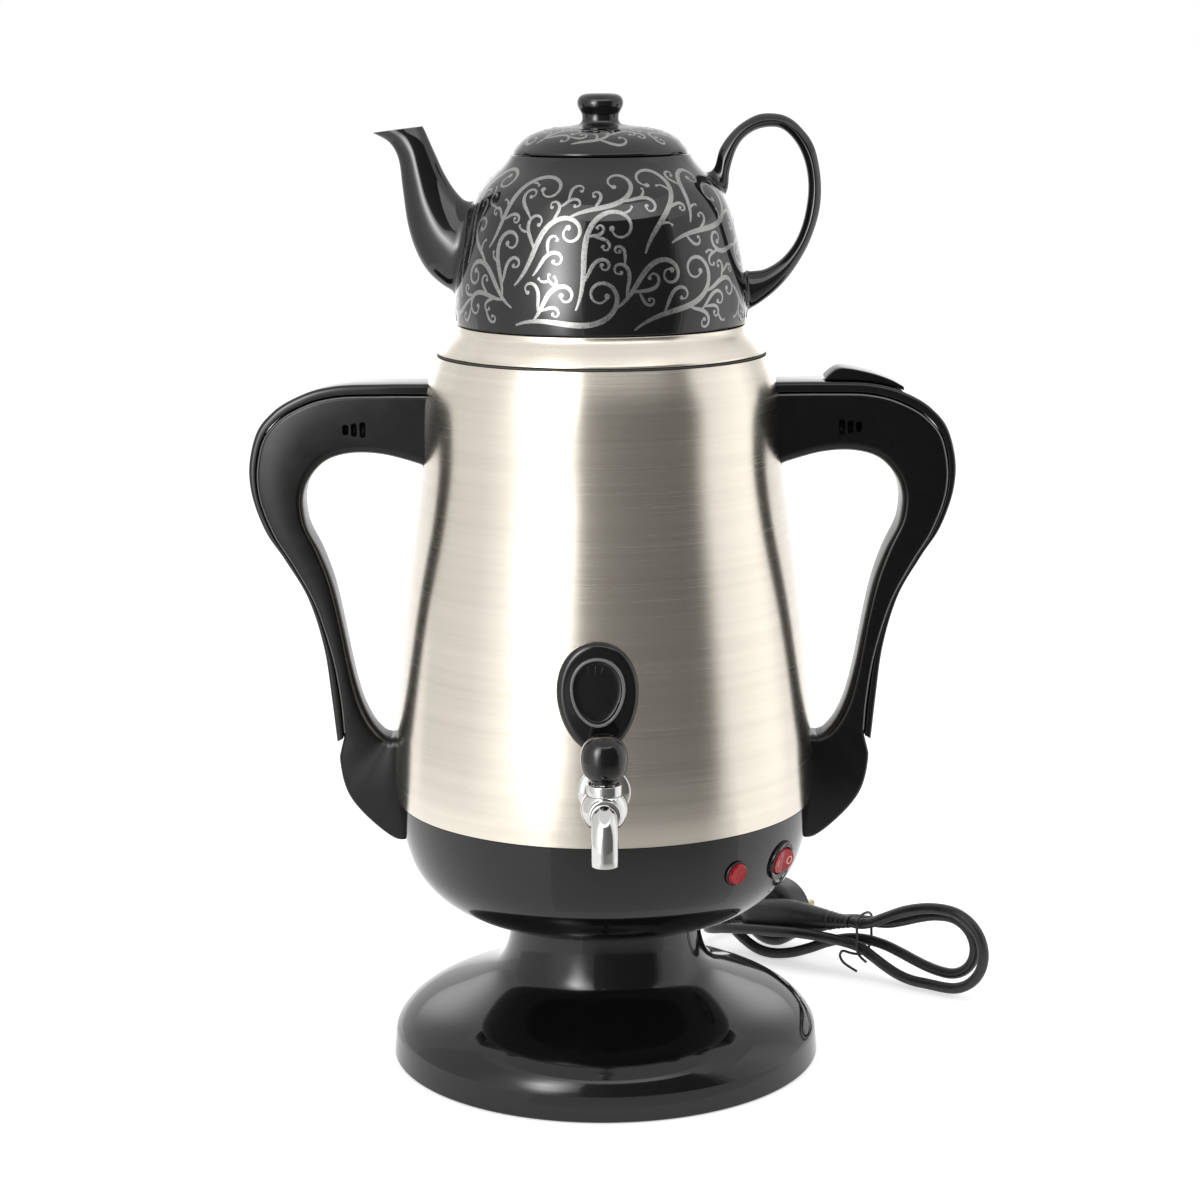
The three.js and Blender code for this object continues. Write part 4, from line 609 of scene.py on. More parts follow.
weld = 1e-6
lathe, lathe_in, lathe_out = new_tree("turned_about_z", [("Sides", "NodeSocketInt", 96)])
outline, sides = lathe_in.outputs["Geometry"], lathe_in.outputs["Sides"]
count = step(lathe, "GeometryNodeAttributeDomainSize", (0, outline)).outputs["Point Count"]
rows = calc(lathe, "ADD", sides, 1.0)
grid = step(lathe, "GeometryNodeMeshGrid", ("Vertices X", rows), ("Vertices Y", count)).outputs["Mesh"]
index = step(lathe, "GeometryNodeInputIndex").outputs[0]
row = calc(lathe, "FLOOR", calc(lathe, "DIVIDE", index, count))
place = calc(lathe, "MODULO", index, count)
angle = calc(lathe, "MULTIPLY", calc(lathe, "DIVIDE", row, sides), 2 * math.pi)
where = step(lathe, "GeometryNodeInputPosition").outputs[0]
sample = step(lathe, "GeometryNodeSampleIndex", data_type="FLOAT_VECTOR")
for source, socket in ((outline, "Geometry"), (where, "Value"), (place, "Index")):
    lathe.links.new(source, sample.inputs[socket])
parts = step(lathe, "ShaderNodeSeparateXYZ", (0, sample.outputs["Value"])).outputs
across = calc(lathe, "MULTIPLY", parts["X"], calc(lathe, "COSINE", angle))
deep = calc(lathe, "MULTIPLY", parts["X"], calc(lathe, "SINE", angle))
spot = step(lathe, "ShaderNodeCombineXYZ", ("X", across), ("Y", deep), ("Z", parts["Z"])).outputs[0]
moved = step(lathe, "GeometryNodeSetPosition", ("Geometry", grid), ("Position", spot)).outputs[0]
merged = step(lathe, "GeometryNodeMergeByDistance", ("Geometry", moved), ("Distance", weld)).outputs[0]
end_tree(lathe, merged, lathe_in, lathe_out)
print("lathe tree:", len(lathe.nodes), "nodes")

# %% [markdown]
# `made_by` runs a tree on an object and keeps the result as a plain mesh. Each input is set by
# its identifier, which stays the same when an input's name changes.


# %% Run a tree, and turn a piece
def made_by(tree, source, material, smooth_below=40.0, **inputs):
    modifier = source.modifiers.new(tree.name, "NODES")
    modifier.node_group = tree
    for item in tree.interface.items_tree:
        if item.in_out == "INPUT" and item.name == "Material":
            modifier[item.identifier] = material
        elif item.in_out == "INPUT" and item.name in inputs:
            modifier[item.identifier] = inputs[item.name]
    applied(source).data.name = source.name
    turn_outwards(source.data)
    return finished(source, material, smooth_below)


def line_object(name, outline):
    """An object with the outline's points, in metres, as a row of edges."""
    points = [(r * MM, 0.0, z * MM) for r, z in outline]
    mesh = bpy.data.meshes.new(name)
    mesh.from_pydata(points, [(i, i + 1) for i in range(len(points) - 1)], [])
    piece = bpy.data.objects.new(name, mesh)
    scene.collection.objects.link(piece)
    return piece


def turned(name, outline, material, sides=192, smooth_below=40.0):
    """A turned piece from a closed outline of (r, z) points in millimetres."""
    return made_by(lathe, line_object(name, outline), material, smooth_below, Sides=sides)


def shut(*lines):
    """The lines one after another, and back to the first point unless both ends are on the axis."""
    whole = np.vstack([np.atleast_2d(np.asarray(line, float)) for line in lines])
    apart = np.linalg.norm(np.diff(whole, axis=0), axis=1) > 1e-6
    whole = whole[np.concatenate([[True], apart])]
    on_axis = whole[0, 0] < 1e-6 and whole[-1, 0] < 1e-6
    return whole if on_axis else np.vstack([whole, whole[:1]])


def radius_at(outline, height):
    """The radius of an outline that rises all the way, at one or more heights."""
    order = np.argsort(outline[:, 1])
    return np.interp(height, outline[order, 1], outline[order, 0])


# %% [markdown]
# ## The steel tank
# The tank is drawn from thin sheet: nearly straight, a little fuller near its foot, with a soft
# shoulder under the mouth. The outline runs up the outside, rolls in at the mouth, and comes
# back down the inside one sheet thickness away, so the tank is hollow when the lid is lifted.

# %% The tank and its dished floor
shell_shares = [
    (0, 0.98), (0.05, 1), (0.14, 0.975), (0.21, 0.917), (0.444, 0.685), (0.673, 0.402), (0.76, 0.305),
    (0.897, 0.253), (0.936, 0.187), (0.97, 0.094), (1, 0),
]
mouth_radius, bulge_depth, widest, shell_foot, shell_height = 83.3, 24.1, 107.4, 138.9, 227.45
shell_line = spline([(mouth_radius + bulge_depth * bulge, shell_foot + shell_height * height)
                     for height, bulge in shell_shares], 6)
shell_line[:, 0] = np.minimum(shell_line[:, 0], widest)
mouth = rounded([(mouth_radius, 366.35), (79.5, 366.35, 0.4), (79.5, 365.5, 0.3), (81.6, 365.3)], 4)
sheet = 0.8
inner_shell = shifted(shell_line, sheet)[::-1]
inner_shell = inner_shell[inner_shell[:, 1] < 365.0]
inner_shell[-1, 1] = shell_foot
tank = turned("tank_drawn", shut(shell_line, mouth[1:], inner_shell), brushed_steel, 256)
dish_line = shifted(shell_line, 1.1)
dish_radius = radius_at(dish_line, 152.0)
dish = turned("tank_floor", shut(
    rounded([(0, 147.9), (dish_radius - 3, 147.9, 2.5), (dish_radius, 151, 1),
             (radius_at(dish_line, 155.9), 155.9)]),
    rounded([(radius_at(dish_line, 155.9) - 1.2, 155.9), (dish_radius - 1.3, 151, 1),
             (dish_radius - 3.6, 149.1, 2), (0, 149.1)]),
), brushed_steel, 128)
print("tank faces:", len(tank.data.polygons))

# %% [markdown]
# ## The pedestal and the bowl
# Both are glossy mouldings. Gloss shows every corner, so the curves are worn smooth before
# they are turned, and the skirt keeps one small round edge that catches the light.

# %% The foot and the bowl
foot_line = eased(bends([(109.7, 15.0), (106.2, 24.0), (90, 31.4), (64, 40), (55.6, 47), (48.6, 57.5),
                         (48.9, 75)], 26), 40)
skirt = rounded([(110.4, 0.5), (111, 1.1, 0.5), (109.8, 14.4, 1.6), foot_line[4]], 6)
foot_inside = shifted(foot_line, 3.0)[::-6]
foot = turned("pedestal_foot", shut(
    skirt, foot_line[5:], [(3.3, 75)], [(3.3, 72)], foot_inside[foot_inside[:, 1] < 72.0],
    [(106.6, 11.0), (108.0, 0.5)],
), gloss_black, 256)
bowl_line = eased(bends([(52, 75.3), (86, 80), (99, 103), (105.5, 120), (107, 138.6)], 26), 20)
bowl_inside = shifted(bowl_line, 3.0)[::-4]
bowl_inside = bowl_inside[(bowl_inside[:, 1] < 132) & (bowl_inside[:, 1] > 79.5)]
bowl = turned("bowl_moulded", shut(
    [(3.3, 75.3), (50, 75.3)], bowl_line, [(106.4, 138.6), (105.6, 138.6), (105.4, 144.2), (103.4, 144.6),
                                           (103.4, 138.0)],
    bowl_inside, [(3.3, 78.3)],
), gloss_black, 256)
print("foot and bowl faces:", len(foot.data.polygons), len(bowl.data.polygons))

# %% [markdown]
# ## The lid ring and its seal
# The lid is pressed from the same steel. Its slope rises from a rolled rim to a flat seat for
# the teapot, and inside the seat a shallow well has a steam hole with a turned-up lip.

# %% The lid ring
lid_slope = eased(bends([(82.8, 368.45), (79.5, 373.9), (75, 378), (73.8, 379.4), (73.6, 380.9)], 12), 6)
lid_under = shifted(lid_slope, 1.0)[::-1]
lid_ring = turned("lid_pressed", shut(
    rounded([(82.4, 367.75), (82.8, 368.0, 0.2), (82.8, 368.45)], 3), lid_slope[1:-1],
    rounded([(73.62, 380.6), (73.6, 381.6, 0.7), (61.6, 381.6, 0.8), (61.6, 378.6, 0.8), (33, 378.6, 0.8),
             (33, 381.6, 0.45), (32, 381.6, 0.45), (32, 377.6)]),
    rounded([(32, 377.6), (62.6, 377.6, 0.5), (62.6, 380.6, 0.5), (71.8, 380.6)]),
    lid_under[(lid_under[:, 1] > 369.6) & (lid_under[:, 1] < 380.2)],
    rounded([(78.6, 368.75), (77, 368.75, 0.3), (77, 357.25, 0.4), (78, 357.25, 0.4), (78, 367.75, 0.3),
             (82.4, 367.75)]),
), brushed_steel, 256)
seal = turned("lid_seal_ring", shut(
    rounded([(79.8, 366.65), (82.6, 366.65, 0.2), (82.6, 367.45, 0.3), (79.8, 367.45, 0.3), (79.8, 366.65)])
), seal_rubber, 128)
print("lid faces:", len(lid_ring.data.polygons))

# %% [markdown]
# ## The teapot
# The pot's body is turned like the tank. Its spout and handle are limbs: rows of rings between
# an outer and an inner edge. Where a limb meets the body, slip fills the corner, so its last
# rings spread out into a small fillet that lies tangent to the glaze.


# %% Limbs and their roots
def limb(rows, place, width, section, steps=7, wall=0.0):
    """Rings of a curved limb from rows of (outer reach, rise, inner reach, rise, width share)."""
    rings = []
    for row in spline(rows, steps):
        outer, inner = place(row[0], row[1]), place(row[2], row[3])
        across = inner - outer
        span = np.linalg.norm(across)
        across /= span
        points = section(span - 2 * wall, width * row[4] - 2 * wall)
        rings.append([outer + across * (a + wall) + np.array([0, side, 0]) for a, side in points])
    return np.array(rings)


def pinched_oval(sides, pinch):
    """An oval section. A pinch over 1 draws its two sides out into soft ridges."""
    def section(span, width):
        turns = round_turns(sides)
        c, s = np.cos(turns), np.sin(turns)
        return [(span / 2 * (1 - np.sign(a) * abs(a) ** pinch), width / 2 * b) for a, b in zip(c, s)]
    return section


def rooted(rings, outline, reach=4.0, flare=3.0, steps=6, count=64):
    """Rings from a fillet on the turned body's surface outwards, for a limb that starts inside."""
    rings = np.asarray(rings)
    outside = np.hypot(rings[..., 0], rings[..., 1]) - radius_at(outline, rings[..., 2])
    crossings, columns = [], []
    for j in range(rings.shape[1]):
        k = np.nonzero((outside[:-1, j] < 0) & (outside[1:, j] >= 0))[0][0]
        t = -outside[k, j] / (outside[k + 1, j] - outside[k, j])
        column = rings[:, j]
        far = lengths(column)
        at = far[k] + t * (far[k + 1] - far[k])
        crossings.append(column[k] + t * (column[k + 1] - column[k]))
        steps_out = np.linspace(at + reach, far[-1], count)
        columns.append(np.stack([np.interp(steps_out, far, c) for c in column.T], axis=1))
    middle = np.mean(crossings, axis=0)
    result = []
    for corner, column in zip(crossings, columns):
        slope = (radius_at(outline, corner[2] + 0.5) - radius_at(outline, corner[2] - 0.5)) / 1.0
        out = np.array([corner[0], corner[1], 0]) / np.hypot(corner[0], corner[1])
        out = np.array([out[0], out[1], -slope]) / math.hypot(1, slope)
        away = corner - middle
        away -= out * out.dot(away)
        spot = corner + flare * away / np.linalg.norm(away)
        spot[:2] *= radius_at(outline, spot[2]) / np.hypot(spot[0], spot[1])
        result.append(np.vstack([spot - 0.4 * out, bends([spot, corner, column[0]], steps), column[1:]]))
    return np.array(result).transpose(1, 0, 2)


# %% The pot's body
pot_radius, pot_seat = 72.6, 381.9
pot_line = eased(bends([(pot_radius, pot_seat), (75, 400), (68.5, 425), (65, 446), (54, 454.5), (47.5, 460),
                        (45, 465)], 26), 16)
pot_inside = shifted(pot_line, 4.0)[::-3]
pot_inside = pot_inside[(pot_inside[:, 1] < 459.5) & (pot_inside[:, 1] > 390.5)]
pot_body = turned("pot_body", shut(
    [(0, 383.9)],
    rounded([(60, 383.9), (66, 383.9, 1.0), (66.6, 381.9, 0.8), (72.3, 381.9, 0.9), pot_line[5]], 5),
    pot_line[6:-3],
    rounded([pot_line[-3], (45, 465, 1.2), (36, 465, 1.5), (36, 461, 1), pot_inside[0]], 5), pot_inside[1:],
    rounded([pot_inside[-1], (68.4, 386.9, 4), (60, 386.9)], 6), [(0, 386.9)],
), black_glaze, 256)

# %% The spout and the handle of the pot
spout_rows = [
    [-0.4, 0.17, -0.6, 0.58, 0.98], [0.02, 0.163, -0.311, 0.592, 1], [0.242, 0.22, -0.2, 0.607, 0.93],
    [0.393, 0.292, -0.101, 0.632, 0.84], [0.516, 0.399, 0.01, 0.685, 0.74],
    [0.593, 0.522, 0.125, 0.765, 0.64], [0.644, 0.696, 0.22, 0.853, 0.54],
    [0.686, 0.838, 0.296, 0.925, 0.46], [0.783, 0.915, 0.343, 0.971, 0.42], [1, 0.969, 0.38, 1, 0.4],
]


def spout_place(reach, rise):
    return np.array([-pot_radius - reach * 40.5, 0, pot_seat + rise * 97.4])


spout_width, spout_section = 31, pinched_oval(48, 1.25)
spout_skin = rooted(limb(spout_rows, spout_place, spout_width, spout_section), pot_line, 5.0, 4.0)
spout_bore = limb(spout_rows[-4:], spout_place, spout_width, spout_section, wall=2.4)[::-1]
lip = (spout_skin[-1] + spout_bore[0]) / 2 + (spout_skin[-1] - spout_skin[-2]) * 0.12
pot_spout = rings_piece("pot_spout", np.concatenate([spout_skin, lip[None], spout_bore]), black_glaze)

handle_rows = [
    [-0.6, 0.69, -0.52, 0.57, 1.1], [-0.44, 0.745, -0.27, 0.625, 1.08], [-0.37, 0.83, -0.228, 0.73, 1],
    [-0.179, 0.922, -0.122, 0.843, 1], [0.079, 0.985, 0.065, 0.91, 1], [0.293, 1, 0.293, 0.933, 1],
    [0.535, 0.984, 0.497, 0.918, 1], [0.739, 0.927, 0.688, 0.842, 1], [0.916, 0.832, 0.796, 0.741, 1],
    [1, 0.684, 0.826, 0.631, 1], [0.992, 0.55, 0.783, 0.512, 1], [0.886, 0.411, 0.682, 0.404, 1.03],
    [0.698, 0.28, 0.508, 0.314, 1.08], [0.443, 0.164, 0.277, 0.257, 1.15], [0.09, 0.068, 0.063, 0.243, 1.25],
    [-0.179, 0.04, -0.234, 0.235, 1.25],
]


def pot_handle_place(reach, rise):
    return np.array([pot_radius + reach * 36.8, 0, pot_seat + rise * 102.8])


pot_limb = limb(handle_rows, pot_handle_place, 9.6, pinched_oval(36, 1.5), 8)
pot_limb = rooted(pot_limb, pot_line, 3.0, 2.2, 5, 110)
pot_limb = rooted(pot_limb[1:][::-1], pot_line, 3.0, 2.5, 5, 110)
pot_handle = rings_piece("pot_handle", pot_limb, black_glaze)
print("spout and handle faces:", len(pot_spout.data.polygons), len(pot_handle.data.polygons))

# %% [markdown]
# ## The teapot's lid
# The lid is a shallow dome with a turned knob. A flange under it keeps it in the pot's mouth
# when tea is poured.

# %% The pot's lid
dome_line = eased(bends([(43.6, 467.0), (37.2, 477.4), (20.1, 478.6), (14.5, 479.0), (12.2, 479.6)], 14), 8)
knob_line = eased(bends([
    (11.2, 479.7), (9.4, 480.1), (9.2, 482.2), (9.15, 484.2), (9.6, 485.6), (11.0, 487.0), (11.7, 489.6),
    (11.9, 491.6), (10.4, 493.4), (8.6, 494.9), (5.0, 494.9),
], 7), 4)
pot_cover = turned("pot_cover", shut(
    [(0, 475.2), (18, 475.0), (31.2, 469.6), (31.4, 458.6)],
    rounded([(31.4, 458.6), (31.6, 458.3, 0.3), (34.6, 458.3, 0.5), (34.8, 465.3, 0.6), (43.4, 465.3, 0.7),
             (43.8, 466.4, 0.6), dome_line[0]], 4),
    dome_line[1:], knob_line, [(0, 494.9)],
), black_glaze, 192)
print("cover faces:", len(pot_cover.data.polygons))

# %% [markdown]
# ## The side handles
# Each handle is two mouldings: a grip, and a strip that clips over its outer edge. Light
# catches the rounded edge of the grip all along the seam, so the strip is a little narrower
# than the grip, and both have real edge roundings. A fine bead in pale grey runs along that
# edge, a painted highlight. The left handle mirrors the right one.


# %% Sections and the line of a handle
def bar_section(outer_round, inner_round, steps=5):
    """A bar's section with one rounding at its outer edge and another at its inner edge."""
    def section(span, width):
        half = width / 2
        a = min(outer_round, span / 2.2, half * 0.8)
        b = min(inner_round, span / 2.2, half * 0.8)
        points = []
        for centre, radius, first in (
            ((a, a - half), a, 180), ((span - b, b - half), b, 270), ((span - b, half - b), b, 0),
            ((a, half - a), a, 90),
        ):
            for k in range(steps + 1):
                turn = math.radians(first + 90 * k / steps)
                points.append((centre[0] + radius * math.cos(turn), centre[1] + radius * math.sin(turn)))
        return points
    return section


grip_rows = np.array([
    [-0.333, 1, -0.305, 0.82, 1], [0.051, 1, 0.051, 0.849, 1], [0.393, 0.996, 0.308, 0.85, 1],
    [0.607, 0.979, 0.464, 0.833, 1], [0.821, 0.942, 0.575, 0.796, 0.99], [0.946, 0.894, 0.615, 0.764, 0.97],
    [1, 0.828, 0.621, 0.735, 0.95], [0.994, 0.773, 0.601, 0.697, 0.92], [0.906, 0.688, 0.507, 0.637, 0.87],
    [0.764, 0.62, 0.422, 0.565, 0.83], [0.6, 0.531, 0.355, 0.472, 0.79], [0.499, 0.421, 0.301, 0.385, 0.76],
    [0.454, 0.31, 0.238, 0.31, 0.74], [0.422, 0.217, 0.165, 0.261, 0.74], [0.386, 0.132, 0.087, 0.232, 0.76],
    [0.315, 0.083, 0.037, 0.225, 0.8], [0.017, 0, -0.001, 0.225, 0.86], [-0.128, 0, -0.128, 0.225, 0.86],
])
body_line = np.vstack([bowl_line, shell_line])
grip_width = 28


def handle_place(reach, rise):
    return np.array([widest + reach * 70.2, 0, 116.9 + rise * 235.6])


def handle_rings(first_row, last_row, depth_from, depth_to, section, narrower=0.0, steps=8):
    """Rings between two rows, over a range of depth in from the outer edge."""
    rings = []
    line = spline(grip_rows, steps)
    for i in range(first_row * steps, int(last_row * steps) + 1):
        row, at = line[i], i / steps
        outer, inner = handle_place(row[0], row[1]), handle_place(row[2], row[3])
        across = inner - outer
        span = np.linalg.norm(across)
        across /= span
        near, deep = depth_from(at, span), depth_to(at, span)
        points = section(deep - near, grip_width * row[4] - 2 * narrower)
        rings.append([outer + across * (a + near) + np.array([0, side, 0]) for a, side in points])
    return np.array(rings)


def against_body(rings, gap):
    """Points that would be inside the tank or bowl come out to its surface, plus a gap."""
    rings = np.array(rings)
    wall = radius_at(body_line, rings[..., 2]) + gap
    inside = np.hypot(rings[..., 0], rings[..., 1]) < wall
    rings[..., 0] = np.where(inside, np.sqrt(np.maximum(wall**2 - rings[..., 1] ** 2, 1)), rings[..., 0])
    return rings


def strip_depth(at):
    """The strip's depth at a row of the handle: it gets thinner towards the bottom."""
    return 5 - 1.5 * at / 14


# %% The slot cutters
def row_tree(name, along, shrinks, count, pitch, shrink):
    """Copies in a row along one axis, each smaller than the last along the axes in shrinks."""
    tree, group_in, group_out = new_tree(name, [
        ("Count", "NodeSocketInt", count), ("Pitch", "NodeSocketFloat", pitch),
        ("Shrink", "NodeSocketFloat", shrink),
    ])
    given = group_in.outputs
    offset = step(tree, "ShaderNodeCombineXYZ", (along, given["Pitch"])).outputs[0]
    spots = step(tree, "GeometryNodeMeshLine", ("Count", given["Count"]), ("Offset", offset)).outputs[0]
    order = step(tree, "GeometryNodeInputIndex").outputs[0]
    size = calc(tree, "SUBTRACT", 1.0, calc(tree, "MULTIPLY", order, given["Shrink"]))
    scales = [(axis, size if axis in shrinks else 1.0) for axis in "XYZ"]
    sizes = step(tree, "ShaderNodeCombineXYZ", *scales).outputs[0]
    placed = step(tree, "GeometryNodeInstanceOnPoints", ("Points", spots), ("Instance", given["Geometry"]),
                  ("Scale", sizes)).outputs[0]
    end_tree(tree, placed, group_in, group_out)
    return tree


slots_tree = row_tree("slots_in_a_row", "X", "Z", 3, 0.0043, 0.17)
slot_half_width, slot_half_straight = 1.45, 2.4
slot_turns = [(math.cos(t), math.sin(t)) for t in round_turns(20)]
slot_rings = [
    [[slot_half_width * k * c, y, k * (slot_half_width * s + slot_half_straight * np.sign(s + 1e-9))]
     for c, s in slot_turns]
    for y, k in ((-1.6, 1.2), (0.0, 1.06), (0.3, 1.0), (1.6, 0.8), (4.0, 0.12))
]
slot_cutter = rings_piece("slot_cutter", slot_rings)
slot_cutter = made_by(slots_tree, slot_cutter, satin_black, Count=3, Pitch=4.3 * MM, Shrink=0.17)
slot_cutter.data.transform(Matrix.Translation((120.0 * MM, -14.0 * MM, 329.9 * MM)))
print("slot cutter faces:", len(slot_cutter.data.polygons))


# %% Grips and strips
def cut_with(piece, cutter):
    cut = piece.modifiers.new("cut", "BOOLEAN")
    cut.operation, cut.solver, cut.object = "DIFFERENCE", "EXACT", cutter
    return applied(piece)


def mirrored(piece, name):
    """A copy on the other side of the samovar, with its faces still outwards."""
    mesh = piece.data.copy()
    mesh.transform(Matrix.Scale(-1, 4, (1, 0, 0)))
    mesh.flip_normals()
    copy = bpy.data.objects.new(name, mesh)
    scene.collection.objects.link(copy)
    return copy


strip_end, seam_gap, seam_fade = 13, 0.35, 0.4


def seam(at, _span):
    """How far the grip starts behind the handle's outer line: the strip's depth and a thin gap."""
    if at < strip_end:
        return strip_depth(at) + seam_gap
    return max(0.0, (strip_depth(strip_end) + seam_gap) * (1 - (at - strip_end) / seam_fade))


grip_rings = handle_rings(0, 17, seam, lambda at, span: span, bar_section(2.4, 5.0))
right_grip = rings_piece("right_grip", against_body(grip_rings, 0.1), satin_black, 50)
right_grip = finished(cut_with(right_grip, slot_cutter), satin_black, 50)
strip_rings = handle_rings(0, strip_end, lambda at, span: 0.0, lambda at, span: strip_depth(at),
                           bar_section(3.4, 0.6), 0.5)
right_strip = rings_piece("right_strip", against_body(strip_rings, 0.1), gloss_black, 50)
# The beads along the seam are pale grey, a painted highlight on the grip's rounded edge.
seam_lines = against_body(grip_rings, 0.1)[1:104, (3, 20)]
highlight_beads = [tube(f"seam_bead_{n}", seam_lines[:, n], 0.42, 8, painted_highlight) for n in (0, 1)]
right_highlight_bead = joined("right_seam_highlight_bead", *highlight_beads)
left_highlight_bead = mirrored(right_highlight_bead, "left_seam_highlight_bead")
left_grip, left_strip = mirrored(right_grip, "left_grip"), mirrored(right_strip, "left_strip")
bpy.data.objects.remove(slot_cutter)
print("grip and strip faces:", len(right_grip.data.polygons), len(right_strip.data.polygons))

# %% [markdown]
# The thumb rest is a small wedge on top of the right handle. Its side view is drawn once, then
# given its width, and a Bevel modifier rounds the long edges.


# %% The thumb rest
def slab(name, outline, low, high, material, bevel=0.0, segments=3):
    """An upright slab: an (x, z) outline given a width along y, with rounded edges."""
    count = len(outline)
    points = [(x * MM, y * MM, z * MM) for y in (low, high) for x, z in outline]
    faces = [tuple(range(count)), tuple(range(2 * count - 1, count - 1, -1))]
    faces += [(i, (i + 1) % count, (i + 1) % count + count, i + count) for i in range(count)]
    piece = mesh_piece(name, points, faces, material)
    if bevel > 0:
        edge = piece.modifiers.new("edges", "BEVEL")
        edge.width, edge.segments, edge.limit_method = bevel * MM, segments, "ANGLE"
        edge.angle_limit = math.radians(50)
        finished(applied(piece), material)
    return piece


rest_top = spline([(111.6, 353.7), (113.8, 355.9), (116.6, 358.0), (119.2, 358.9), (124, 358.6),
                   (130.4, 357.4), (138, 355.4), (145.2, 352.7), (151.2, 349.4)], 5)
strip_top = spline([(151.6, 347.5), (145, 349.7), (138, 351.4), (130, 352.4), (120, 352.8), (112.6, 352.9)],
                   4)
thumb_rest = slab("thumb_rest_moulded", np.vstack([rest_top, strip_top]), -9, 9, satin_black, 0.8)
print("thumb rest faces:", len(thumb_rest.data.polygons))

# %% [markdown]
# ## The vines on the pot
# The glaze carries a drawn pattern of curling vines in pale lustre. A curl is simple to state:
# it starts with a slight swing to one side, then bends to the other side more and more, until it
# ends in a round drop. So a vine is grown, not drawn. Curls are tried again and again, the
# longest kind first: some start alone and most are shoots of a curl that is already there. One
# stays only where it keeps clear of everything drawn before. The numbers come from a seed, so
# the pattern is the same each time.


# %% Curls on a turned surface
def surface_of(outline):
    """The outline by the distance along it: a table of distance, radius and height."""
    far = lengths(outline)
    return np.column_stack([far, outline])


pace = 0.7


def curl(surface, turn, rise, heading, length, first_bend, last_bend, power):
    """Rows of angle, distance up the surface and heading along a curl. Bends are per mm."""
    rows = []
    steps_along = int(length / pace)
    for i in range(steps_along + 1):
        rows.append((turn, rise, heading))
        share = i / steps_along
        swing = first_bend * max(0.0, 1 - share / 0.45)
        heading += pace * (swing + last_bend * share**power)
        turn += pace * math.cos(heading) / np.interp(rise, surface[:, 0], surface[:, 1])
        rise += pace * math.sin(heading)
    return np.array(rows)


def spots_of(surface, rows):
    """The points in space of a curl's rows."""
    radius = np.interp(rows[:, 1], surface[:, 0], surface[:, 1])
    height = np.interp(rows[:, 1], surface[:, 0], surface[:, 2])
    return np.stack([radius * np.cos(rows[:, 0]), radius * np.sin(rows[:, 0]), height], axis=1)


def grow(surface, kinds, seed, low, high, clear):
    """Curls as (rows, width). Each kind says: length, last bend, power, width, lean, tries, free share."""
    chance = np.random.default_rng(seed)
    drawn, taken = [], np.full((1, 3), 1e6)
    for length, last_bend, power, width, lean, tries, free in kinds:
        for _ in range(tries):
            side = chance.choice([-1, 1])
            alone = not drawn or chance.random() < free
            if alone:
                turn, rise = chance.uniform(-math.pi, math.pi), chance.uniform(low, high)
                heading, skip = chance.uniform(0.25, math.pi - 0.25), 0
            else:
                parent, parent_width = drawn[chance.integers(len(drawn))]
                turn, rise, heading = parent[int(len(parent) * chance.uniform(0.1, 0.72))]
                heading += side * lean * chance.uniform(0.7, 1.3)
                skip = int((parent_width + width + 2.4) / pace)
            bend = side * last_bend * chance.uniform(0.85, 1.2)
            bend = bend if chance.random() < 0.75 else -bend
            rows = curl(surface, turn, rise, heading, length * chance.uniform(0.85, 1.15), -0.12 * bend, bend,
                        power)
            if rows[:, 1].min() < low or rows[:, 1].max() > high:
                continue
            spots = spots_of(surface, rows)[::2]
            if np.linalg.norm(spots[skip // 2 :, None] - taken[None], axis=2).min() < clear + width / 2:
                continue
            drawn.append((rows, width))
            taken = np.vstack([taken, spots])
    return drawn


def ribbon_widths(count, gap, width):
    """Half widths along a curl: thin root, full middle, thin neck and a round drop at the end."""
    far = np.arange(count) * gap
    total = far[-1]
    share = far / total
    half = width / 2 * (0.3 + 0.7 * np.sin(math.pi * np.clip(share, 0, 1) ** 0.7) ** 1.2)
    drop = 0.42 * width + 0.25
    reach = np.clip(drop**2 - (far - (total - drop)) ** 2, 0, None) ** 0.5
    half = np.where(far > total - drop, reach, np.maximum(half, reach))
    return np.maximum(half, 0.06)


# %% Grow the pot's vines
pot_surface = surface_of(pot_line)
vine_kinds = [
    (84, 0.31, 2.3, 2.7, 0.6, 160, 1.0), (60, 0.36, 2.1, 2.5, 0.62, 420, 0.2),
    (42, 0.46, 2.0, 2.3, 0.7, 600, 0.1), (28, 0.62, 1.8, 1.9, 0.75, 800, 0.1),
    (17, 0.9, 1.6, 1.6, 0.8, 800, 0.06), (8, 0.5, 1.2, 1.3, 0.85, 200, 0.0),
]
pot_curls = grow(pot_surface, vine_kinds, 8, 1.5, 84, 1.7)
print("curls on the pot:", len(pot_curls))


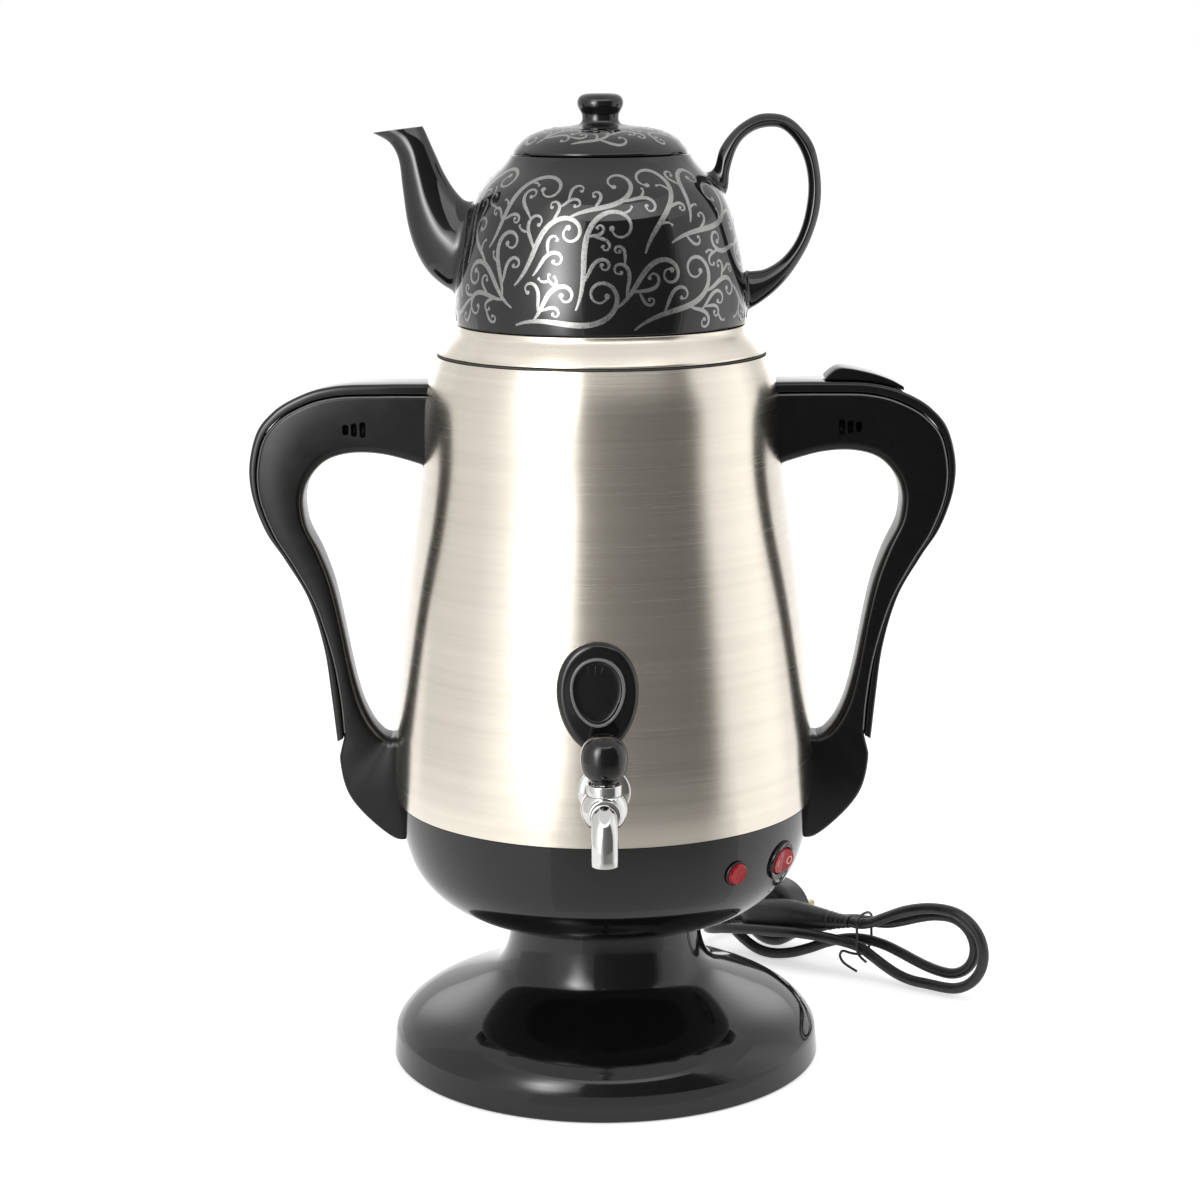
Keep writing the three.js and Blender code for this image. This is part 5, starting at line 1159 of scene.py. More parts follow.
# %% Lay the curls on the glaze
def ribbons(name, surface, drawn, material, proud=0.06):
    """One mesh of flat closed ribbons that follow the surface and stand a little proud of it."""
    points, faces = [], []
    for rows, width in drawn:
        long = (len(rows) - 1) * pace
        count = max(int(long / 0.45), 8)
        at = np.linspace(0, len(rows) - 1, count)
        rows = np.stack([np.interp(at, np.arange(len(rows)), column) for column in rows.T], axis=1)
        half = ribbon_widths(count, long / (count - 1), width)
        radius = np.interp(rows[:, 1], surface[:, 0], surface[:, 1])
        rings = []
        for across, high in ((1.0, -0.15), (1.0, proud * 0.6), (0.0, proud), (-1.0, proud * 0.6),
                             (-1.0, -0.15)):
            moved = rows.copy()
            moved[:, 0] -= across * half * np.sin(rows[:, 2]) / radius
            moved[:, 1] += across * half * np.cos(rows[:, 2])
            before, after = moved.copy(), moved.copy()
            before[:, 1] -= 0.2
            after[:, 1] += 0.2
            up = spots_of(surface, after) - spots_of(surface, before)
            level = np.stack([-np.sin(moved[:, 0]), np.cos(moved[:, 0]), np.zeros(count)], axis=1)
            out = np.cross(level, up)
            rings.append(spots_of(surface, moved) + high * out / np.linalg.norm(out, axis=1)[:, None])
        rings = np.stack(rings, axis=1)
        first = len(points)
        points.extend(rings.reshape(-1, 3) * MM)
        faces.extend(tuple(first + i for i in face) for face in ring_faces(count, 5))
    return mesh_piece(name, points, faces, material, 50)


pot_vines = ribbons("pot_vines", pot_surface, pot_curls, silver_print)
cover_surface = surface_of(dome_line)
cover_curls = grow(cover_surface, [
    (38, 0.42, 2.0, 2.1, 0.6, 160, 1.0), (24, 0.6, 1.8, 1.8, 0.7, 300, 0.15),
    (14, 0.9, 1.6, 1.5, 0.8, 300, 0.1), (7, 0.5, 1.2, 1.2, 0.85, 60, 0.0),
], 32, 5, 26, 1.4)
cover_vines = ribbons("cover_vines", cover_surface, cover_curls, silver_print)
print("vine faces:", len(pot_vines.data.polygons), len(cover_vines.data.polygons))

# %% [markdown]
# ## The oval badge
# A polished oval plate is glued over the tap. It bends with the tank, so it is built from ovals
# whose points are dropped onto a surface a little outside the steel. The ovals step inwards:
# edge, rounded rim, face, a raised ring, and a shallow dish inside it. A bead in pale grey lies
# on the ring as a painted highlight, and three short ribs mark the top of the dish.

# %% The badge
badge_turns, badge_x = round_turns(128), -3


def on_shell(x, z, proud):
    """A point of the tank's front at x and z, this far outside the steel."""
    reach = radius_at(shell_line, z) + proud
    return [x, -math.sqrt(reach**2 - x * x), z]


def badge_oval(middle, half_width, half_height, proud):
    return [
        on_shell(badge_x + half_width * (1 + 0.1 * math.sin(t)) * math.cos(t),
                 middle + half_height * math.sin(t), proud)
        for t in badge_turns
    ]


badge_rows = [(213, 19.4, 26.4, 0.3), (213, 19.6, 26.6, 0.5), (213, 19.6, 26.6, 1.0),
              (213, 19.45, 26.45, 1.6), (213, 19.0, 26.0, 2.35), (213, 18.3, 25.3, 3.0),
              (213, 17.5, 24.5, 3.4), (213, 16.8, 23.8, 3.56), (213.6, 15.9, 22.2, 3.5),
              (215, 14.6, 19.2, 3.4), (216, 13.75, 17.15, 3.4), (216, 13.5, 16.9, 4.0),
              (216, 13.2, 16.6, 4.45), (216, 12.8, 16.2, 4.8), (216, 12.4, 15.8, 4.95),
              (216, 12.0, 15.4, 4.9), (216, 11.6, 15.0, 4.6), (216, 11.3, 14.7, 4.0),
              (216, 11.1, 14.5, 3.2), (216, 10.6, 14.0, 2.95), (216, 8, 10.5, 2.8), (216, 4, 5.2, 2.7),
              (216, 0.3, 0.4, 2.7)]
badge_plate = rings_piece("badge_plate", [badge_oval(*row) for row in badge_rows], gloss_black, 50)
badge_ribs = []
for number, (side, lean) in enumerate(((-4.4, -0.1), (-0.9, 0.05), (2.3, 0.35))):
    heights = np.linspace(0, 1, 9)
    rings = []
    for h in heights:
        wide = 0.5 * math.sin(math.pi * (0.08 + 0.84 * h)) ** 0.6
        centre_x, centre_z = badge_x + side + lean * (h - 0.5) * 3.4, 224.6 + 4.0 * h
        rings.append([
            on_shell(centre_x + wide * math.cos(t), centre_z,
                     2.9 + 0.75 * max(math.sin(t), -0.6) * wide / 0.5)
            for t in round_turns(12)
        ])
    badge_ribs.append(rings_piece(f"badge_rib_{number}", rings, gloss_black))
# The bead on the ring is pale grey: a painted highlight.
bead_radius, bead_rise, bead_height = 0.75, 0.6, 4.62
bead_ovals = [
    badge_oval(216, 12.4 + bead_radius * math.cos(a), 15.8 + bead_radius * math.cos(a),
               bead_height + bead_rise * math.sin(a))
    for a in round_turns(12)
]
bead_rings = [[oval[number] for oval in bead_ovals] for number in range(len(badge_turns))]
bead_rings.append(bead_rings[0])
ring_highlight_bead = mesh_piece("badge_highlight_bead", np.array(bead_rings).reshape(-1, 3) * MM,
                       ring_faces(len(bead_rings), 12, closed=False), painted_highlight)
finished(ring_highlight_bead, painted_highlight)
badge = joined("oval_badge", badge_plate, *badge_ribs, ring_highlight_bead)
print("badge faces:", len(badge.data.polygons))

# %% [markdown]
# ## The tap
# The tap is turned and polished brass with a chrome plating: a wall flange on a rubber ring, a
# ball with a shank through the tank's wall, a bonnet, and a bent outlet with a collar. Chrome
# shows only its surroundings, so round edges matter more here than anywhere else: each edge
# gets a small rounding that draws a thin bright line.


# %% Frames for the tap's pieces
def frame_at(place, x_way, y_way, z_way):
    """A 4 by 4 matrix that puts a piece's own x, y and z along three directions at a place."""
    matrix = np.eye(4)
    matrix[:3, :3] = np.stack([x_way, y_way, z_way], axis=1)
    matrix[:3, 3] = place
    return matrix


def turned_in(name, outline, frame_matrix, material, sides=96, smooth_below=40.0):
    """A turned piece whose axis is the frame's z, from a closed outline of (r, z) points."""
    piece = turned(name, outline, material, sides, smooth_below)
    matrix = Matrix(frame_matrix.tolist())
    matrix.translation *= MM
    piece.data.transform(matrix)
    return piece


tap_place = np.array([0, -139.878, 168.0])
ball_radius, ball_top = 11.2, 7.17
tap_upright = frame_at(tap_place, (1, 0, 0), (0, 1, 0), (0, 0, 1))
tap_level = frame_at(tap_place, (1, 0, 0), (0, 0, -1), (0, 1, 0))
print("tap centre in mm:", tap_place.tolist())

# %% The flange, the ball and the bonnet
tap_ring = turned_in("tap_rubber_ring", shut(
    rounded([(6.3, 30.9), (11, 30.9, 0.4), (11, 32.4, 0.4), (6.3, 32.4), (6.3, 30.9)])
), tap_level, seal_rubber)
tap_rose = turned_in("tap_rose", shut(
    rounded([(6.3, 30.6), (6.3, 27.7), (6.9, 27.6, 0.3), (9.2, 27.6, 1.6), (11.6, 28.3, 1.2),
             (12.8, 29.3, 0.9), (12.8, 30.6, 0.35), (6.3, 30.6)], 6)
), tap_level, chrome, 128)
ball_turns = np.linspace(-math.pi / 2, math.asin(ball_top / ball_radius), 40)
ball_line = [(ball_radius * math.cos(t), ball_radius * math.sin(t)) for t in ball_turns]
ball_line[0] = (0, -ball_radius)
tap_ball = turned_in("tap_ball", shut(
    ball_line, rounded([(8.6, ball_top), (8.6, 5.7, 0.3), (5.5, 5.7), (5.5, -6.8), (0, -6.8)])
), tap_upright, chrome, 128)
tap_shank = turned_in("tap_shank", shut(
    [(0, 3)], rounded([(6, 3), (6, 44, 0.8), (3.5, 44), (3.5, 12), (0, 12)])
), tap_level, chrome)
tap_barrel = joined("tap_barrel", tap_ball, tap_shank)
tap_cap = turned_in("tap_cap", shut(
    rounded([(5.5, 6), (8.0, 6), (8.3, 6.3, 0.2), (8.3, 12.4, 0.9), (6.6, 12.4, 0.4), (5.5, 12.2), (5.5, 6)],
            6)
), tap_upright, chrome, 96)
print("tap barrel faces:", len(tap_barrel.data.polygons))


# %% The outlet and the knob
def pipe(name, line, outer, inner, sides, material, lip=0.35):
    """An open pipe along a line: rings outside, a rounded lip at each end, and rings inside."""
    out, back = tube_rings(line, outer, sides), tube_rings(line, inner, sides)[::-1]
    middle_end, middle_start = (out[-1] + back[0]) / 2, (out[0] + back[-1]) / 2
    ahead = lip * (line[-1] - line[-2]) / np.linalg.norm(line[-1] - line[-2])
    behind = lip * (line[0] - line[1]) / np.linalg.norm(line[0] - line[1])
    rings = np.concatenate([out, (0.8 * out[-1] + 0.2 * middle_end + 0.7 * ahead)[None],
                            (middle_end + ahead)[None],
                            (0.8 * back[0] + 0.2 * middle_end + 0.7 * ahead)[None], back,
                            (middle_start + behind)[None]])
    count = len(rings)
    faces = ring_faces(count, sides, closed=False)
    last = (count - 1) * sides
    faces += [(last + j, last + (j + 1) % sides, (j + 1) % sides, j) for j in range(sides)]
    return mesh_piece(name, rings.reshape(-1, 3) * MM, faces, material)


bend_radius = 12
outlet_line = np.array([
    [0, -9.8, 0],
    *[[0, -10 - bend_radius * math.sin(t), -bend_radius * (1 - math.cos(t))]
      for t in np.linspace(0, math.pi / 2, 15)],
    *[[0, -10 - bend_radius, -bend_radius - down] for down in (2, 4, 6, 8.65)],
]) + tap_place
outlet_bend = pipe("outlet_bend", outlet_line, 6.3, 4.7, 64, chrome)
outlet_collar = turned_in("outlet_collar", shut(
    rounded([(6.0, -9.5), (7.6, -9.5, 0.4), (7.6, -13.5, 0.9), (6.0, -13.7), (6.0, -9.5)], 6)
), tap_level, chrome)
tap_outlet = joined("tap_outlet", outlet_bend, outlet_collar)
knob_skin = eased(bends([(6.1, 14.6), (8.88, 14.6), (10.66, 19.2), (11.99, 26.1), (9.99, 30.24), (7.4, 35.98),
                         (0, 35.98)], 14), 6)
knob_skin[-1] = (0, 35.98)
knob = turned_in("knob_moulded", shut(
    [(0, 18.3), (2.9, 18.3)], rounded([(2.9, 18.3), (2.9, 12.7, 0.2), (6.1, 12.7, 0.3), (6.1, 14.6)]),
    knob_skin[1:]
), tap_upright, gloss_black, 128)
print("outlet and knob faces:", len(tap_outlet.data.polygons), len(knob.data.polygons))

# %% [markdown]
# ## The pilot lamp and the rocker switch
# Both snap into holes in the bowl, square to its sloping wall. A seat is that place: its z
# points out of the wall, its x runs level round the bowl and its y runs up the wall.


# %% Seats on the bowl
seat_line = bends([(52, 75.3), (86.03, 79.98), (98.98, 103.03), (105.5, 119.99), (107, 138.6)], 3)


def seat_on(azimuth, height):
    """The frame of a seat on the bowl's wall, from its angle round the axis and its height."""
    radius = radius_at(seat_line, height)
    slope = (radius_at(seat_line, height + 0.3) - radius_at(seat_line, height - 0.3)) / 0.6
    turn = math.radians(azimuth)
    out = np.array([math.cos(turn), math.sin(turn), -slope]) / math.hypot(1, slope)
    level = np.array([-math.sin(turn), math.cos(turn), 0])
    return frame_at([radius * math.cos(turn), radius * math.sin(turn), height], level, np.cross(out, level),
                    out)


lamp_seat, switch_seat, boot_seat = seat_on(-51.6, 118.5), seat_on(-31.6, 117.0), seat_on(90.0, 112.0)
print("lamp and switch places in mm:", lamp_seat[:3, 3].round(1), switch_seat[:3, 3].round(1))


# %% Holes in the bowl for the lamp, the switch and the cord
def placed_in(frame_matrix, points):
    return np.asarray(points, float) @ frame_matrix[:3, :3].T + frame_matrix[:3, 3]


for seat, reach in ((lamp_seat, 5.1), (switch_seat, 9.95), (boot_seat, 5.5)):
    rounds = [[(reach * math.cos(t), reach * math.sin(t), z) for t in round_turns(48)]
              for z in (-22, 5)]
    drill = rings_piece("drill", placed_in(seat, rounds))
    cut_with(bowl, drill)
    bpy.data.objects.remove(drill)
finished(bowl, gloss_black)
print("bowl faces with its holes:", len(bowl.data.polygons))

# %% [markdown]
# The lamp is a black ring with a clear red lens. The lens has a cut bevel, which catches the
# light on its upper side, and a flat face.

# %% The lamp
lamp_ring = turned_in("lamp_ring", shut(
    rounded([(3.5, -15.5), (4.9, -15.5, 0.3), (4.9, -1), (6.75, -1), (6.75, 0.7, 0.3), (6.45, 1.3, 0.2),
             (6.0, 1.3, 0.15), (5.9, 0.1), (3.5, 0.1), (3.5, -15.5)])
), lamp_seat, gloss_black, 72)
lens = turned_in("lamp_cap", shut(
    [(0, -5), (3.1, -5), (3.1, 0.35), (5.75, 0.35)],
    rounded([(5.75, 0.35), (5.75, 1.6, 0.15), (4.7, 2.6, 0.15), (4.45, 2.3, 0.1), (0, 2.3)], 4)
), lamp_seat, red_clear, 72, 25)
print("lamp faces:", len(lamp_ring.data.polygons), len(lens.data.polygons))

# %% [markdown]
# The switch's ring has an oval well for the rocker. The rocker's face is a shallow V. Its sides
# belong to a ball that is squeezed along the hinge, so it turns in its well and no gap opens.
# The side with the O stands out, and the marks are printed a tenth of a millimetre proud.

# %% The switch's ring
well_turns = round_turns(96)
squeeze = 0.77


def well_oval(wide, high, z):
    return [(wide * math.cos(t), high * math.sin(t), z) for t in well_turns]


well_reach, well_floor = 9.15, -10.3
outside_rows = ((0.05, -17), (9.6, -17), (9.8, -16.8), (9.8, -1), (10.5, -1), (10.5, 0.7), (10.42, 1.05),
                (10.2, 1.3), (9.9, 1.4), (9.5, 1.3))
well_rows = ((0.25, 1.15), (0.08, 1.0), (0.0, 0.7), (0.0, well_floor))
switch_seat_rows = [
    *[well_oval(r, r, z) for r, z in outside_rows],
    *[well_oval(well_reach + e, well_reach * squeeze + e, z) for e, z in well_rows],
    well_oval(0.05, 0.05, well_floor),
]
switch_ring = rings_piece("switch_ring", placed_in(switch_seat, switch_seat_rows), gloss_black, 35)
rocker_seat = switch_seat.copy()
rocker_seat[:3, 3] -= 1.5 * switch_seat[:3, 2]
press = math.radians(-7)
rocker_seat[:3, 0] = switch_seat[:3, 0] * math.cos(press) - switch_seat[:3, 2] * math.sin(press)
rocker_seat[:3, 2] = switch_seat[:3, 2] * math.cos(press) + switch_seat[:3, 0] * math.sin(press)
print("rocker pivot in mm:", rocker_seat[:3, 3].round(2))


# %% The rocker and its marks
ball, edge_round = 8.9, 0.35


def rocker_face(x):
    """Height of the rocker's face: a V with a softened middle."""
    soft, lowest, rise = 1.2, 3.19, 1.41
    return lowest + rise * (math.hypot(x, soft) - soft) / (math.hypot(ball, soft) - soft)


rocker_turns = round_turns(72)
rocker_edge = []
for t in rocker_turns:
    reach = 8.0
    for _ in range(12):
        reach = math.sqrt(ball**2 - (rocker_face(reach * math.cos(t)) - edge_round) ** 2)
    rocker_edge.append(reach)
around = list(zip(rocker_turns, rocker_edge))
rocker_rows = [
    [(k * e * math.cos(t), k * e * math.sin(t), rocker_face(k * e * math.cos(t))) for t, e in around]
    for k in (0.08, 0.3, 0.55, 0.8, 0.93)
]
rocker_rows.append([(0.98 * e * math.cos(t), 0.98 * e * math.sin(t), rocker_face(e * math.cos(t)) - 0.1)
                    for t, e in around])
for down in np.linspace(0, 1, 9):
    row = []
    for t, e in around:
        top = rocker_face(e * math.cos(t)) - edge_round
        z = top + (-4.5 - top) * down
        reach = math.sqrt(ball**2 - z * z)
        row.append((reach * math.cos(t), reach * math.sin(t), z))
    rocker_rows.append(row)
rocker_rows = np.array(rocker_rows) * (1, squeeze, 1)
rocker_cap = rings_piece("rocker_cap", placed_in(rocker_seat, rocker_rows), red_clear, 35)

mark_pink = worn_finish("mark_pink", (0.82, 0.4, 0.38), 0.4,
                        tones=(1500.0, (0.8, 0.38, 0.35), (0.9, 0.52, 0.48)))
o_middle, o_half_width, o_half_height = 4.7, 1.55, 2.0
o_rows = []
for t in round_turns(40):
    row = []
    for a, h in ((-0.35, -0.1), (-0.3, 0.1), (0.3, 0.1), (0.35, -0.1)):
        x = o_middle + (o_half_width + a) * math.cos(t)
        row.append((x, (o_half_height + a) * math.sin(t), rocker_face(x) + h))
    o_rows.append(row)
o_rows.append(o_rows[0])
o_mark = mesh_piece("mark_off", placed_in(rocker_seat, o_rows).reshape(-1, 3) * MM,
                    ring_faces(len(o_rows), 4, closed=False), mark_pink)
i_rows = [
    [(x, y, rocker_face(x) + h) for x, h in ((-5.15, -0.1), (-5.1, 0.1), (-4.5, 0.1), (-4.45, -0.1))]
    for y in np.linspace(-1.9, 1.9, 8)
]
i_mark = rings_piece("mark_on", placed_in(rocker_seat, i_rows), mark_pink)
rocker_marks = joined("rocker_marks", o_mark, i_mark)
print("rocker faces:", len(rocker_cap.data.polygons))

# %% [markdown]
# ## The cord's boot
# Where the cord leaves the bowl, a rubber boot keeps it from bending sharply. Its ribs repeat
# with an even step and shrink towards the cord. That is a rule, so Geometry Nodes place them:
# one ring, a line of points, and a scale that drops from point to point.

# %% The boot and its ribs
ribs_tree = row_tree("rings_up_a_boot", "Z", "XY", 6, 0.0045, 0.05)
upright = np.eye(4)
one_rib = rings_piece("boot_ribs", turned_rings(rounded(
    [(3.2, -1.35), (5.5, -1.35, 0.4), (5.75, 0, 0.5), (5.5, 1.35, 0.4), (3.2, 1.35)], 4), 48, upright),
    cord_black)
boot_ribs = made_by(ribs_tree, one_rib, cord_black, Count=6, Pitch=4.4 * MM, Shrink=0.052)
boot_ribs.data.transform(Matrix.Translation((0, 0, 7.6 * MM)))
boot_core = turned("boot_core", shut(rounded(
    [(3.3, -11), (5.2, -11, 0.4), (5.2, -1), (9, -1), (9, 0.9, 0.5), (6.2, 1.3, 0.8), (5.9, 3.4, 0.8),
     (4.6, 7), (3.9, 29), (4.2, 30.2, 0.4), (4.0, 32, 0.5), (3.3, 32), (3.3, -11)])), cord_black, 64)
boot = joined("cord_boot", boot_core, boot_ribs)
boot_matrix = Matrix(boot_seat.tolist())
boot_matrix.translation *= MM
boot.data.transform(boot_matrix)
print("boot faces:", len(boot.data.polygons))

# %% [markdown]
# ## Underneath
# Four rubber pads and three screws stand in rings round the axis. One tree turns a single pad,
# or a single screw, into the whole ring. The screw has a cross cut in its head.

# %% The ring tree
round_tree, round_in, round_out = new_tree("round_the_axis", [
    ("Count", "NodeSocketInt", 4), ("Reach", "NodeSocketFloat", 0.09), ("First", "NodeSocketFloat", 0.0),
])
circle = step(round_tree, "GeometryNodeMeshCircle", ("Vertices", round_in.outputs["Count"]),
              ("Radius", round_in.outputs["Reach"])).outputs[0]
first = step(round_tree, "ShaderNodeCombineXYZ", ("Z", round_in.outputs["First"])).outputs[0]
swung = step(round_tree, "GeometryNodeTransform", ("Geometry", circle), ("Rotation", first)).outputs[0]
ring_placed = step(round_tree, "GeometryNodeInstanceOnPoints", ("Points", swung),
                   ("Instance", round_in.outputs["Geometry"])).outputs[0]
end_tree(round_tree, ring_placed, round_in, round_out)
print("ring tree:", len(round_tree.nodes), "nodes")

# %% Pads, screws and the base plate
one_pad = rings_piece("foot_pads", turned_rings(
    rounded([(0.01, 0), (8, 0, 0.5), (8, 2.2, 0.3), (0.01, 2.2)], 4), 48, upright))
foot_pads = made_by(round_tree, one_pad, pad_rubber, Count=4, Reach=90 * MM, First=math.radians(45))
one_screw = rings_piece("base_screws", turned_rings(rounded(
    [(0.01, 0.3), (2.6, 0.3, 0.4), (3.6, 0.75, 0.4), (3.6, 1.4, 0.1), (1.7, 1.4), (1.7, 14.6, 0.3),
     (0.01, 15.4)], 4), 32, upright))
cross = [(-2, -0.3), (-0.3, -0.3), (-0.3, -2), (0.3, -2), (0.3, -0.3), (2, -0.3), (2, 0.3), (0.3, 0.3),
         (0.3, 2), (-0.3, 2), (-0.3, 0.3), (-2, 0.3)]
cross_cutter = rings_piece("cross_cutter", [[(x, y, z) for x, y in cross] for z in (0.0, 0.95)])
one_screw = cut_with(one_screw, cross_cutter)
bpy.data.objects.remove(cross_cutter)
base_screws = made_by(round_tree, one_screw, zinc_steel, 30, Count=3, Reach=82 * MM, First=math.radians(90))
print("pads and screws faces:", len(foot_pads.data.polygons), len(base_screws.data.polygons))

# %% [markdown]
# ## Finishes on the model's own parts
# Small parts inside the bowl and under the tank keep the shape that the engineering model
# gives them. Each gets the finish of its slot in place of the model's plain colour.

# %% Finishes for the parts that stay
for row in frame["record"]["subparts"]:
    part = frame["nodes"][row["node"]]
    part.data.materials.clear()
    part.data.materials.append(finish_of_slot[row["material_slot"]])
frame["nodes"]["valve_plug"].data.materials[0] = chrome

# %% [markdown]
# ## The studio
# The photograph has a white floor that runs into a white background. Here the world is white
# for the camera and for reflections, and a plainer level lights the samovar itself, so colours
# look as they are written. Polished steel shows its surroundings, so the studio also has a
# ring of screens that only reflections can see: a bright soft box on the left, the dark room
# behind the camera, and another bright panel on the right.

# %% The white world
world = bpy.data.worlds.new("studio_white")
scene.world = world
world.use_nodes = True
sky = world.node_tree
seen = sky.nodes["Background"]
seen.inputs["Color"].default_value = (1, 1, 1, 1)
seen.inputs["Strength"].default_value = 1.0
plain = sky.nodes.new("ShaderNodeBackground")
plain.inputs["Color"].default_value = (1, 1, 1, 1)
plain.inputs["Strength"].default_value = 0.6


def seen_share(tree):
    """1 for a camera, glossy or transmission ray, and 0 for any other."""
    rays = tree.nodes.new("ShaderNodeLightPath")
    first = tree.nodes.new("ShaderNodeMath")
    second = tree.nodes.new("ShaderNodeMath")
    first.operation = second.operation = "MAXIMUM"
    tree.links.new(rays.outputs["Is Camera Ray"], first.inputs[0])
    tree.links.new(rays.outputs["Is Glossy Ray"], first.inputs[1])
    tree.links.new(first.outputs[0], second.inputs[0])
    tree.links.new(rays.outputs["Is Transmission Ray"], second.inputs[1])
    return second.outputs[0]


choice = sky.nodes.new("ShaderNodeMixShader")
sky.links.new(seen_share(sky), choice.inputs[0])
sky.links.new(plain.outputs[0], choice.inputs[1])
sky.links.new(seen.outputs[0], choice.inputs[2])
sky.links.new(choice.outputs[0], sky.nodes["World Output"].inputs["Surface"])
print("world strength: 1 where seen,", plain.inputs["Strength"].default_value, "as light")

# %% The floor
floor = mesh_piece("studio_floor", [(-40, -40, 0), (40, -40, 0), (40, 40, 0), (-40, 40, 0)], [(0, 1, 2, 3)])
floor_white = shader_of("floor_white", (0.84, 0.84, 0.84), 0.9, Specular_IOR_Level=0.1)
floor_glow = node(floor_white, "ShaderNodeEmission")
floor_glow.inputs["Strength"].default_value = 0.56
floor_sum = node(floor_white, "ShaderNodeAddShader")
floor_pick = node(floor_white, "ShaderNodeMixShader")
floor_shader = floor_white.node_tree.nodes["Principled BSDF"]
wire(floor_white, floor_shader.outputs[0], floor_sum.inputs[0], floor_glow.outputs[0], floor_sum.inputs[1],
     seen_share(floor_white.node_tree), floor_pick.inputs[0], floor_shader.outputs[0], floor_pick.inputs[1],
     floor_sum.outputs[0], floor_pick.inputs[2],
     floor_pick.outputs[0], floor_white.node_tree.nodes["Material Output"].inputs["Surface"])
floor.data.materials.append(floor_white)
print("floor is 80 m wide, so its edge never shows")


# %% The lamps
def soft_lamp(name, place, target, size, watts):
    data = bpy.data.lights.new(name, "AREA")
    data.shape, data.size, data.energy = "DISK", size, watts
    lamp = bpy.data.objects.new(name, data)
    scene.collection.objects.link(lamp)
    lamp.location = place
    lamp.rotation_euler = (Vector(target) - Vector(place)).to_track_quat("-Z", "Y").to_euler()
    lamp.visible_glossy = False
    lamp.visible_transmission = False
    return lamp


soft_lamp("lamp_left", (-1.6, -1.3, 1.5), (0, 0, 0.2), 1.4, 11)
soft_lamp("lamp_right", (1.7, -0.6, 1.2), (0, 0, 0.2), 1.2, 6)
soft_lamp("lamp_top", (0.1, 0.4, 2.2), (0, 0, 0.2), 1.6, 9)


# %% The screens that only reflections see
def spot_of_light(angle, z, middle, wide, height, tall, glow):
    """A round spot that fades to all sides, at an angle from the front and a height."""
    return glow * math.exp(-(((angle - middle) / wide) ** 2) - ((z - height) / tall) ** 2)


def soft_box(angle, z):
    """Extra glow of the soft box on the left, and of the lit backdrop on both sides behind."""
    angle = angle if angle < 180 else angle - 360
    if abs(angle) > 114:
        return spot_of_light(abs(angle), z, 156, 14, 0.46, 0.24, 1.5)
    if angle >= -14:
        return 0.0
    wide = 8 + 6 * min(max((z - 0.25) / 0.3, 0), 1)
    tall = 0.27 if z < 0.42 else 0.52
    upper = spot_of_light(angle, z, -36, 8, 0.52, 0.16, 5.5)
    return upper + spot_of_light(angle, z, -31, wide, 0.42, tall, 6.8)


def screen(name, stops, reach, low, high):
    """A curved wall round the samovar. stops are (angle from the front, glow); left is negative."""
    angles = [a for a, _ in stops]
    across = np.unique(np.concatenate([np.arange(angles[0], angles[-1] + 0.01, 2.0), angles]))
    count = 12
    points, glow = [], []
    for angle in across:
        turn = math.radians(angle - 90)
        level = float(np.interp(angle, angles, [g for _, g in stops]))
        for z in np.linspace(low, high, count):
            points.append((reach * math.cos(turn), reach * math.sin(turn), z))
            glow.append(level + soft_box(angle, z))
    return glowing(name, points, strips(len(across), count), glow)


def strips(columns, count):
    """The faces between columns of count points each."""
    return [(i * count + k, (i + 1) * count + k, (i + 1) * count + k + 1, i * count + k + 1)
            for i in range(columns - 1) for k in range(count - 1)]


def glowing(name, points, faces, glow):
    """A surface that only reflections see, with a brightness of its own at each point."""
    wall = mesh_piece(name, points, faces)
    layer = wall.data.attributes.new("glow", "FLOAT", "POINT")
    layer.data.foreach_set("value", np.array(glow, np.float32))
    material = bpy.data.materials.new(name)
    material.use_nodes = True
    light = node(material, "ShaderNodeEmission")
    value = node(material, "ShaderNodeAttribute", attribute_name="glow")
    wire(material, value.outputs["Fac"], light.inputs["Strength"],
         light.outputs[0], material.node_tree.nodes["Material Output"].inputs["Surface"])
    wall.data.materials.append(material)
    for ray in ("camera", "diffuse", "transmission", "shadow", "volume_scatter"):
        setattr(wall, "visible_" + ray, False)
    return wall


near_wall, far_wall, ground = 0.68, 0.9, 0.001
screen("screen_left", [(-112, 0.88), (-96, 0.9), (-74, 0.97), (-62, 1.2), (-52, 1.45), (-45, 1.5), (-28, 1.1),
                       (-18, 0.78), (-14.5, 0.72)], near_wall, ground, 0.86)
screen("screen_room", [(-14, 0.7), (-11, 0.37), (2, 0.24), (20, 0.18), (44, 0.15), (55, 0.16), (61.5, 0.5)],
       near_wall, ground, 0.84)
screen("screen_right", [(62, 0.6), (67, 1.1), (82, 1.3), (100, 1.5), (116, 1.1)], near_wall, ground, 0.62)
screen("screen_above", [(-114, 1.0), (-62, 1.3), (-45, 2.3), (40, 2.6), (62, 1.4), (114, 1.0)],
       far_wall, 0.87, 1.5)
screen("screen_behind", [(114, 1.0), (140, 0.85), (220, 0.85), (246, 1.0)], far_wall, 0.26, 0.9)
mat_angles = range(-26, 74, 4)
mat_rows = ((0.14, 1.0), (0.24, 0.9), (0.42, 0.58), (0.68, 0.28))
mat_shares = np.interp(mat_angles, (-26, -4, 50, 72), (0, 1, 1, 0))
mat_height, mat_plain = 0.0015, 1.05
mat_spots = [(r * math.sin(math.radians(a)), -r * math.cos(math.radians(a)), mat_height)
             for a in mat_angles for r, _ in mat_rows]
mat_glow = [mat_plain + share * (glow - mat_plain) for share in mat_shares for _, glow in mat_rows]
glowing("screen_mat", mat_spots, strips(len(mat_angles), len(mat_rows)), mat_glow)
print("screens set round the samovar")
